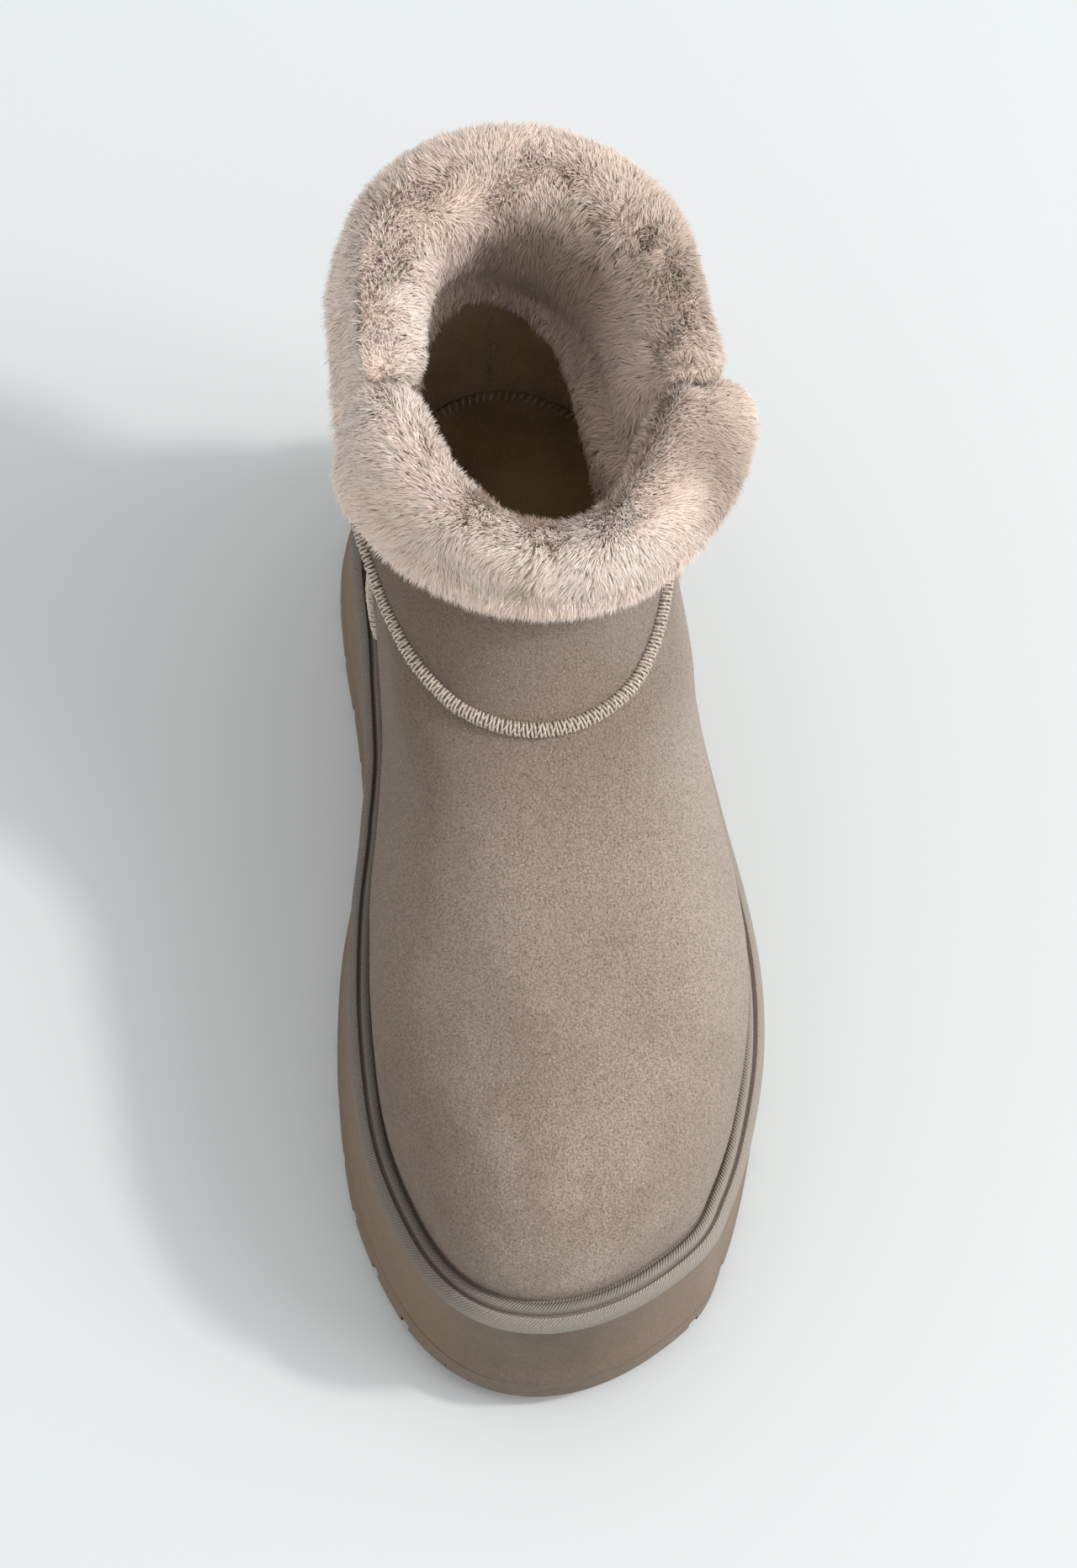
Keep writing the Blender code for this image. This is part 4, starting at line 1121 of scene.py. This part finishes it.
def make_pelt(name, node, cuff, steps):
    """The form that the hair grows from."""
    fine = len(cuff_section(1.0, 1.0)) * 4
    share, place = np.meshgrid(np.linspace(0, 1, steps), np.arange(fine) / 4.0, indexing="ij")
    points, normal = cuff_frame(cuff, share, place)[:2]
    furred = (place > FUR_FROM) & (place < FUR_TO)
    points = points + normal * (furred * LUMP_HEIGHT * ripple(points, LUMP_SIZE))[..., None]
    faces = [grid_faces(steps, fine)[:, ::-1]]
    for row in (0, steps - 1):
        i = np.arange(0, fine // 2 - 1)
        ring = row * fine + np.arange(fine)
        cap = np.stack([ring[i], ring[i + 1], ring[fine - 2 - i], ring[fine - 1 - i]], -1)
        faces.append(cap if row == 0 else cap[:, ::-1])
    pelt = mesh_from(name + "_pelt", points, np.concatenate(faces), UNDERFUR, "fur")
    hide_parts(node)


def pile_spots(points):
    """How much painted shade (negative for painted light) the pile has there, with the darker parting roots,
    and how much rougher it is.
    """
    painted_lighting_and_tone, rough = np.zeros(len(points)), np.zeros(len(points))
    for *middle, reach, painted_lighting, rougher in PILE_SPOTS:
        near = np.exp(-((points * 1000 - middle) ** 2).sum(-1) / reach ** 2)
        painted_lighting_and_tone += painted_lighting * near
        rough = np.maximum(rough, rougher * near)
    return painted_lighting_and_tone, rough


def hair_way(cuff, share, place, parting):
    """Where a hair grows, its root's directions, and the way in which it is combed."""
    root, normal, along, around = cuff_frame(cuff, share, place)
    flow = np.tanh((place - parting - 0.9 * ripple(root + 7.0, 0.016)) / 1.5)
    lay = np.interp(place, HAIR_AT, HAIR_LAYS)
    medial = np.clip(-normal[:, 0], 0, 1) * (root[:, 0] < 0)
    lay = lay * (1 - MEDIAL_STAND * medial * np.clip((place - 2) / 3, 0, 1))
    sway = 0.45 * ripple(root, 0.022) + 0.4 * ripple(root + 3.0, 0.008)
    beside_parting = (root[:, 0] - PARTING_X) / PARTING_REACH
    apart = np.where(root[:, 1] < 0.04, beside_parting * np.exp(-beside_parting ** 2), 0.0)
    comb = around * (flow * lay)[:, None] + along * (sway * (0.35 + 0.65 * lay) + 0.9 * apart)[:, None]
    return root, normal, comb, np.abs(flow)


def lock_centres(share, place):
    """The nearest of the scattered lock centres to each hair."""
    step_u, step_v = LOCK_PITCH / CUFF_LENGTH, LOCK_PITCH / PLACE_STEP
    u, v = share / step_u, place / step_v
    best = np.full(len(u), 1e9)
    centre = np.zeros((len(u), 2))
    for du in (-1, 0, 1):
        for dv in (-1, 0, 1):
            cu, cv = np.floor(u) + du, np.floor(v) + dv
            hu = np.sin(cu * 127.1 + cv * 311.7) * 43758.5453
            hv = np.sin(cu * 269.5 + cv * 183.3) * 43758.5453
            pu, pv = cu + hu - np.floor(hu), cv + hv - np.floor(hv)
            d = (pu - u) ** 2 + (pv - v) ** 2
            closer = d < best
            best = np.where(closer, d, best)
            centre[closer] = np.stack([pu, pv], -1)[closer]
    tone = np.sin(np.floor(centre[:, 0] * 7.3) * 12.9898 + np.floor(centre[:, 1] * 9.1) * 78.233) * 43758.5
    return centre[:, 0] * step_u, centre[:, 1] * step_v, tone - np.floor(tone)


def make_hair(name, cuff, count, place_from, place_to, parting, seed):
    """Hairs on one side of the cuff, combed away from its parting and gathered into locks."""
    own = np.random.default_rng(seed)
    share = own.uniform(0.0, 1.0, count * 2)
    place = own.uniform(place_from, place_to, count * 2)
    here = cuff.surface(share, place)
    a = cuff.surface(np.minimum(share + 0.005, 1), place) - here
    b = cuff.surface(share, place + 0.1) - here
    area = np.linalg.norm(np.cross(a, b), axis=-1)
    keep = own.uniform(0, 1, len(share)) < area / np.quantile(area, 0.8)
    share, place = share[keep][:count], place[keep][:count]
    root, normal, comb, laid = hair_way(cuff, share, place, parting)
    count = len(root)
    painted_lighting_and_tone, rough = pile_spots(root)
    length = np.interp(place, HAIR_AT, HAIR_LENGTHS) * own.uniform(0.72, 1.15, count)
    length = length * (0.88 + 0.12 * laid) * np.clip(0.55 + np.minimum(share, 1 - share) / 0.08, 0, 1)
    jitter = own.normal(size=root.shape) * 0.17
    way = unit(normal * HAIR_RISE + comb + jitter)
    cs, cp, lock_tone = lock_centres(share, place)
    cs, cp = np.clip(cs, 0.0, 1.0), np.clip(cp, place_from, place_to)
    lock_root, lock_normal, lock_comb, _ = hair_way(cuff, cs, cp, parting)
    lock_tip = lock_root + unit(lock_normal * (HAIR_RISE + 0.06) + lock_comb) * length[:, None]
    pull = 0.16 + 0.2 * ripple(root + 5.0, 0.018) + 0.4 * rough + 0.24 * np.clip(1 - place / 4, 0, 1)
    pull = np.clip(pull, 0.03, 0.6)[:, None]
    tip = root + way * length[:, None]
    tip = tip + (lock_tip - tip) * pull
    bow = unit(normal * (HAIR_RISE + 0.35) + comb * 0.8 + jitter)
    middle = root + bow * (0.52 * length)[:, None]
    middle = middle + (lock_tip - tip) * pull * 0.25
    root = root - normal * 0.0007
    facing = unit(np.cross(normal + 0.2 * own.normal(size=normal.shape), tip - root))
    width = HAIR_WIDTH * own.uniform(0.7, 1.3, count)
    half = facing * width[:, None] / 2
    points = np.stack([root - half, root + half, middle - half * 0.9, middle + half * 0.9, tip], 1)
    triangles = np.array([(0, 3, 1), (0, 2, 3), (2, 4, 3)])
    faces = (triangles[None] + (np.arange(count) * 5)[:, None, None]).reshape(-1, 3)
    hair = mesh_from(name, points, faces, FUR, "fur")
    vertex_values(hair, "tip", np.tile([0.0, 0.0, 0.55, 0.55, 1.0], count))
    tone = np.clip(0.4 * lock_tone + 0.6 * own.uniform(0, 1, count), 0, 1)
    vertex_values(hair, "tone", np.repeat(tone, 5))
    # The spots' painted shade and painted light, with the darker parting roots and some of each rough lock's
    # own tone
    vertex_values(hair, "painted_lighting_and_tone", np.repeat(painted_lighting_and_tone + rough * (lock_tone - 0.5) * 0.5, 5))
    lit = unit(normal + 0.3 * own.normal(size=normal.shape))
    loops = np.zeros(len(hair.data.loops), np.int32)
    hair.data.loops.foreach_get("vertex_index", loops)
    hair.data.normals_split_custom_set(np.repeat(lit, 5, 0)[loops].tolist())


class Lining:
    """The pile that goes on down inside the shaft, over share (round it) and place (down it)."""

    def surface(self, share, place):
        share, place = paired(share, place)
        turn = 2 * math.pi * share
        lateral = np.exp(-(((turn - PILE_SIDE_TURN) / PILE_SIDE_REACH) ** 2))
        medial = np.exp(-(((2 * math.pi - turn - PILE_SIDE_TURN) / PILE_SIDE_REACH) ** 2))
        t = np.clip((place - LINING_FROM) / (LINING_TO - LINING_FROM), 0, 1)
        foot = PILE_FOOT + PILE_SIDE_DROP * (lateral + 0.9 * medial)
        drop = PILE_HEAD + (foot - PILE_HEAD) * t
        thick = PILE_THICKNESS + PILE_SIDE_SWELL * (lateral + 0.5 * medial)
        thick = thick * (0.45 + 0.55 * np.clip(t / 0.4, 0, 1))
        thick = thick * np.sqrt(np.clip(1 - np.maximum(0.0, (t - 0.72) / 0.28) ** 2, 0, 1))
        point, out = bare_frame(turn, SHAFT_HEIGHT - drop)[:2]
        return point - out * (UPPER_WALL + thick - 0.0003)[..., None]


def make_cuffs():
    ring = float((1.0 - front_along(SHAFT_HEIGHT)) * LAST_LENGTH)
    room = NOTCH_GAP / ring
    lap = 2 * WING_OVERLAP / ring
    lateral, medial = NOTCH_TURN_LATERAL, NOTCH_TURN_MEDIAL
    front = Cuff(-medial + room, lateral - room, lap, FORM_SHARE, FRONT_INSIDE_SHARE)
    back = Cuff(lateral + room, 2 * math.pi - medial - room, -lap, FORM_SHARE, BACK_INSIDE_SHARE)
    make_pelt("cuff_front", "fur_cuff_front", front, 120)
    make_pelt("cuff_back", "fur_cuff_back", back, 140)
    make_hair("cuff_front_hair_outside", front, 62000, 0.35, 9.5, 10.0, 7)
    make_hair("cuff_front_hair_inside", front, 20000, 9.5, 14.4, 10.0, 8)
    make_hair("cuff_back_hair_outside", back, 62000, 0.35, 9.0, 8.8, 9)
    make_hair("cuff_back_hair_inside", back, 44000, 9.0, 14.4, 8.8, 10)
    lining = Lining()
    rows, size = 240, 26
    places = np.linspace(LINING_FROM, LINING_TO, size)
    share, place = np.meshgrid(np.linspace(0, 1, rows), places, indexing="ij")
    points, normal = cuff_frame(lining, share, place)[:2]
    points = points + normal * (LUMP_HEIGHT * ripple(points, LUMP_SIZE))[..., None]
    mesh_from("shaft_pile_pelt", points, grid_faces(rows, size, closed=False)[:, ::-1], UNDERFUR, "fur")
    make_hair("shaft_pile_hair", lining, 20000, LINING_FROM, LINING_TO, 8.8, 11)


def make_lining_seam():
    """The seam down the back of the lining."""
    rise = np.linspace(SHAFT_HEIGHT - PILE_FOOT + 0.004, INSOLE_THICKNESS + 0.001, 40)
    wander = math.pi + 0.03 * np.sin(rise * 60)
    point, out = bare_frame(wander, rise)[:2]
    path = point - out * (UPPER_WALL + 0.0002)
    tubes("lining_back_seam", path[None], 0.0006, 6, DARK_THREAD, "seam_thread", -out[None])


# Stage, light and camera, with the photograph's angle to the boot


def light(name, turn, height, distance, size, power, colour):
    """A round lamp, by its turn round the boot and its height in degrees, that faces the boot."""
    turn, height = math.radians(turn), math.radians(height)
    away = Vector((math.cos(turn) * math.cos(height), math.sin(turn) * math.cos(height), math.sin(height)))
    data = bpy.data.lights.new(name, "AREA")
    data.shape = "DISK"
    data.size = size
    data.energy = power
    data.color = colour
    made = add_object(name, data)
    made.location = Vector((0, 0, LAMPS_AT_HEIGHT)) + away * distance
    made.rotation_mode = "QUATERNION"
    made.rotation_quaternion = (-away).to_track_quat("-Z", "Y")


def make_stage():
    corners = np.array([(-3, -3, 0), (3, -3, 0), (3, 3, 0), (-3, 3, 0)], float)
    floor = mesh_from("floor", corners, [(0, 1, 2, 3)], None)
    f = Finish("studio_floor", 0.9, Specular_IOR_Level=0.1)
    floor.data.materials.append(f.done((0.69, 0.722, 0.728)))
    world = bpy.data.worlds.new("studio")
    bpy.context.scene.world = world
    world.use_nodes = True
    back = world.node_tree.nodes["Background"]
    back.inputs["Color"].default_value = (1.0, 1.0, 1.0, 1.0)
    back.inputs["Strength"].default_value = SKY
    light("key", -8, 46, 3.0, 0.3, KEY, (1.0, 0.985, 0.965))
    light("soft", -15, 42, 4.0, 2.4, SOFT, (1.0, 0.99, 0.98))


def make_camera():
    """The camera, where the photograph's one stood to the boot, turned to the boot's middle."""
    ball = Vector((MIDDLE_X, TOE_Y + BALL_BEHIND_TIP, 0))
    to_boot = (
        Matrix.Translation(ball)
        @ Matrix.Rotation(-CAMERA_YAW, 4, "Z")
        @ Matrix.Translation(Vector((AIM_BESIDE_BALL, AIM_BEHIND_BALL, 0)))
    )
    target = Vector((AIM_ASIDE, 0, RIM_PLANE))
    back = Vector((0, -math.cos(CAMERA_ELEVATION), math.sin(CAMERA_ELEVATION)))
    place = target + back * CAMERA_DISTANCE
    facing = (target - place).to_track_quat("-Z", "Y").to_matrix().to_4x4()
    pose = to_boot @ Matrix.Translation(place) @ facing
    data = bpy.data.cameras.new("camera")
    data.sensor_width = 36.0
    data.lens = CAMERA_LENS * CLOSER
    data.clip_start = 0.05
    camera = add_object("camera", data)
    bpy.context.scene.camera = camera
    eye = pose.translation.copy()
    look = pose.to_3x3() @ Vector((0, 0, -1))
    wanted = (BOOT_MIDDLE - eye).normalized()
    turn = look.rotation_difference(wanted).to_matrix().to_4x4()
    camera.matrix_world = Matrix.Translation(eye) @ turn @ pose.to_3x3().to_4x4()


make_camera()
make_stage()
make_upper()
make_seam("instep_roll", "instep_seam", instep_seam_place)
make_seam("side_roll_lateral", "side_seam_lateral", lambda s: side_seam_place(s, 1))
make_seam("side_roll_medial", "side_seam_medial", lambda s: side_seam_place(s, -1))
make_midsole()
make_outsole()
make_rim()
make_insole()
make_cuffs()
make_lining_seam()

bpy.context.scene.view_settings.view_transform = "Standard"
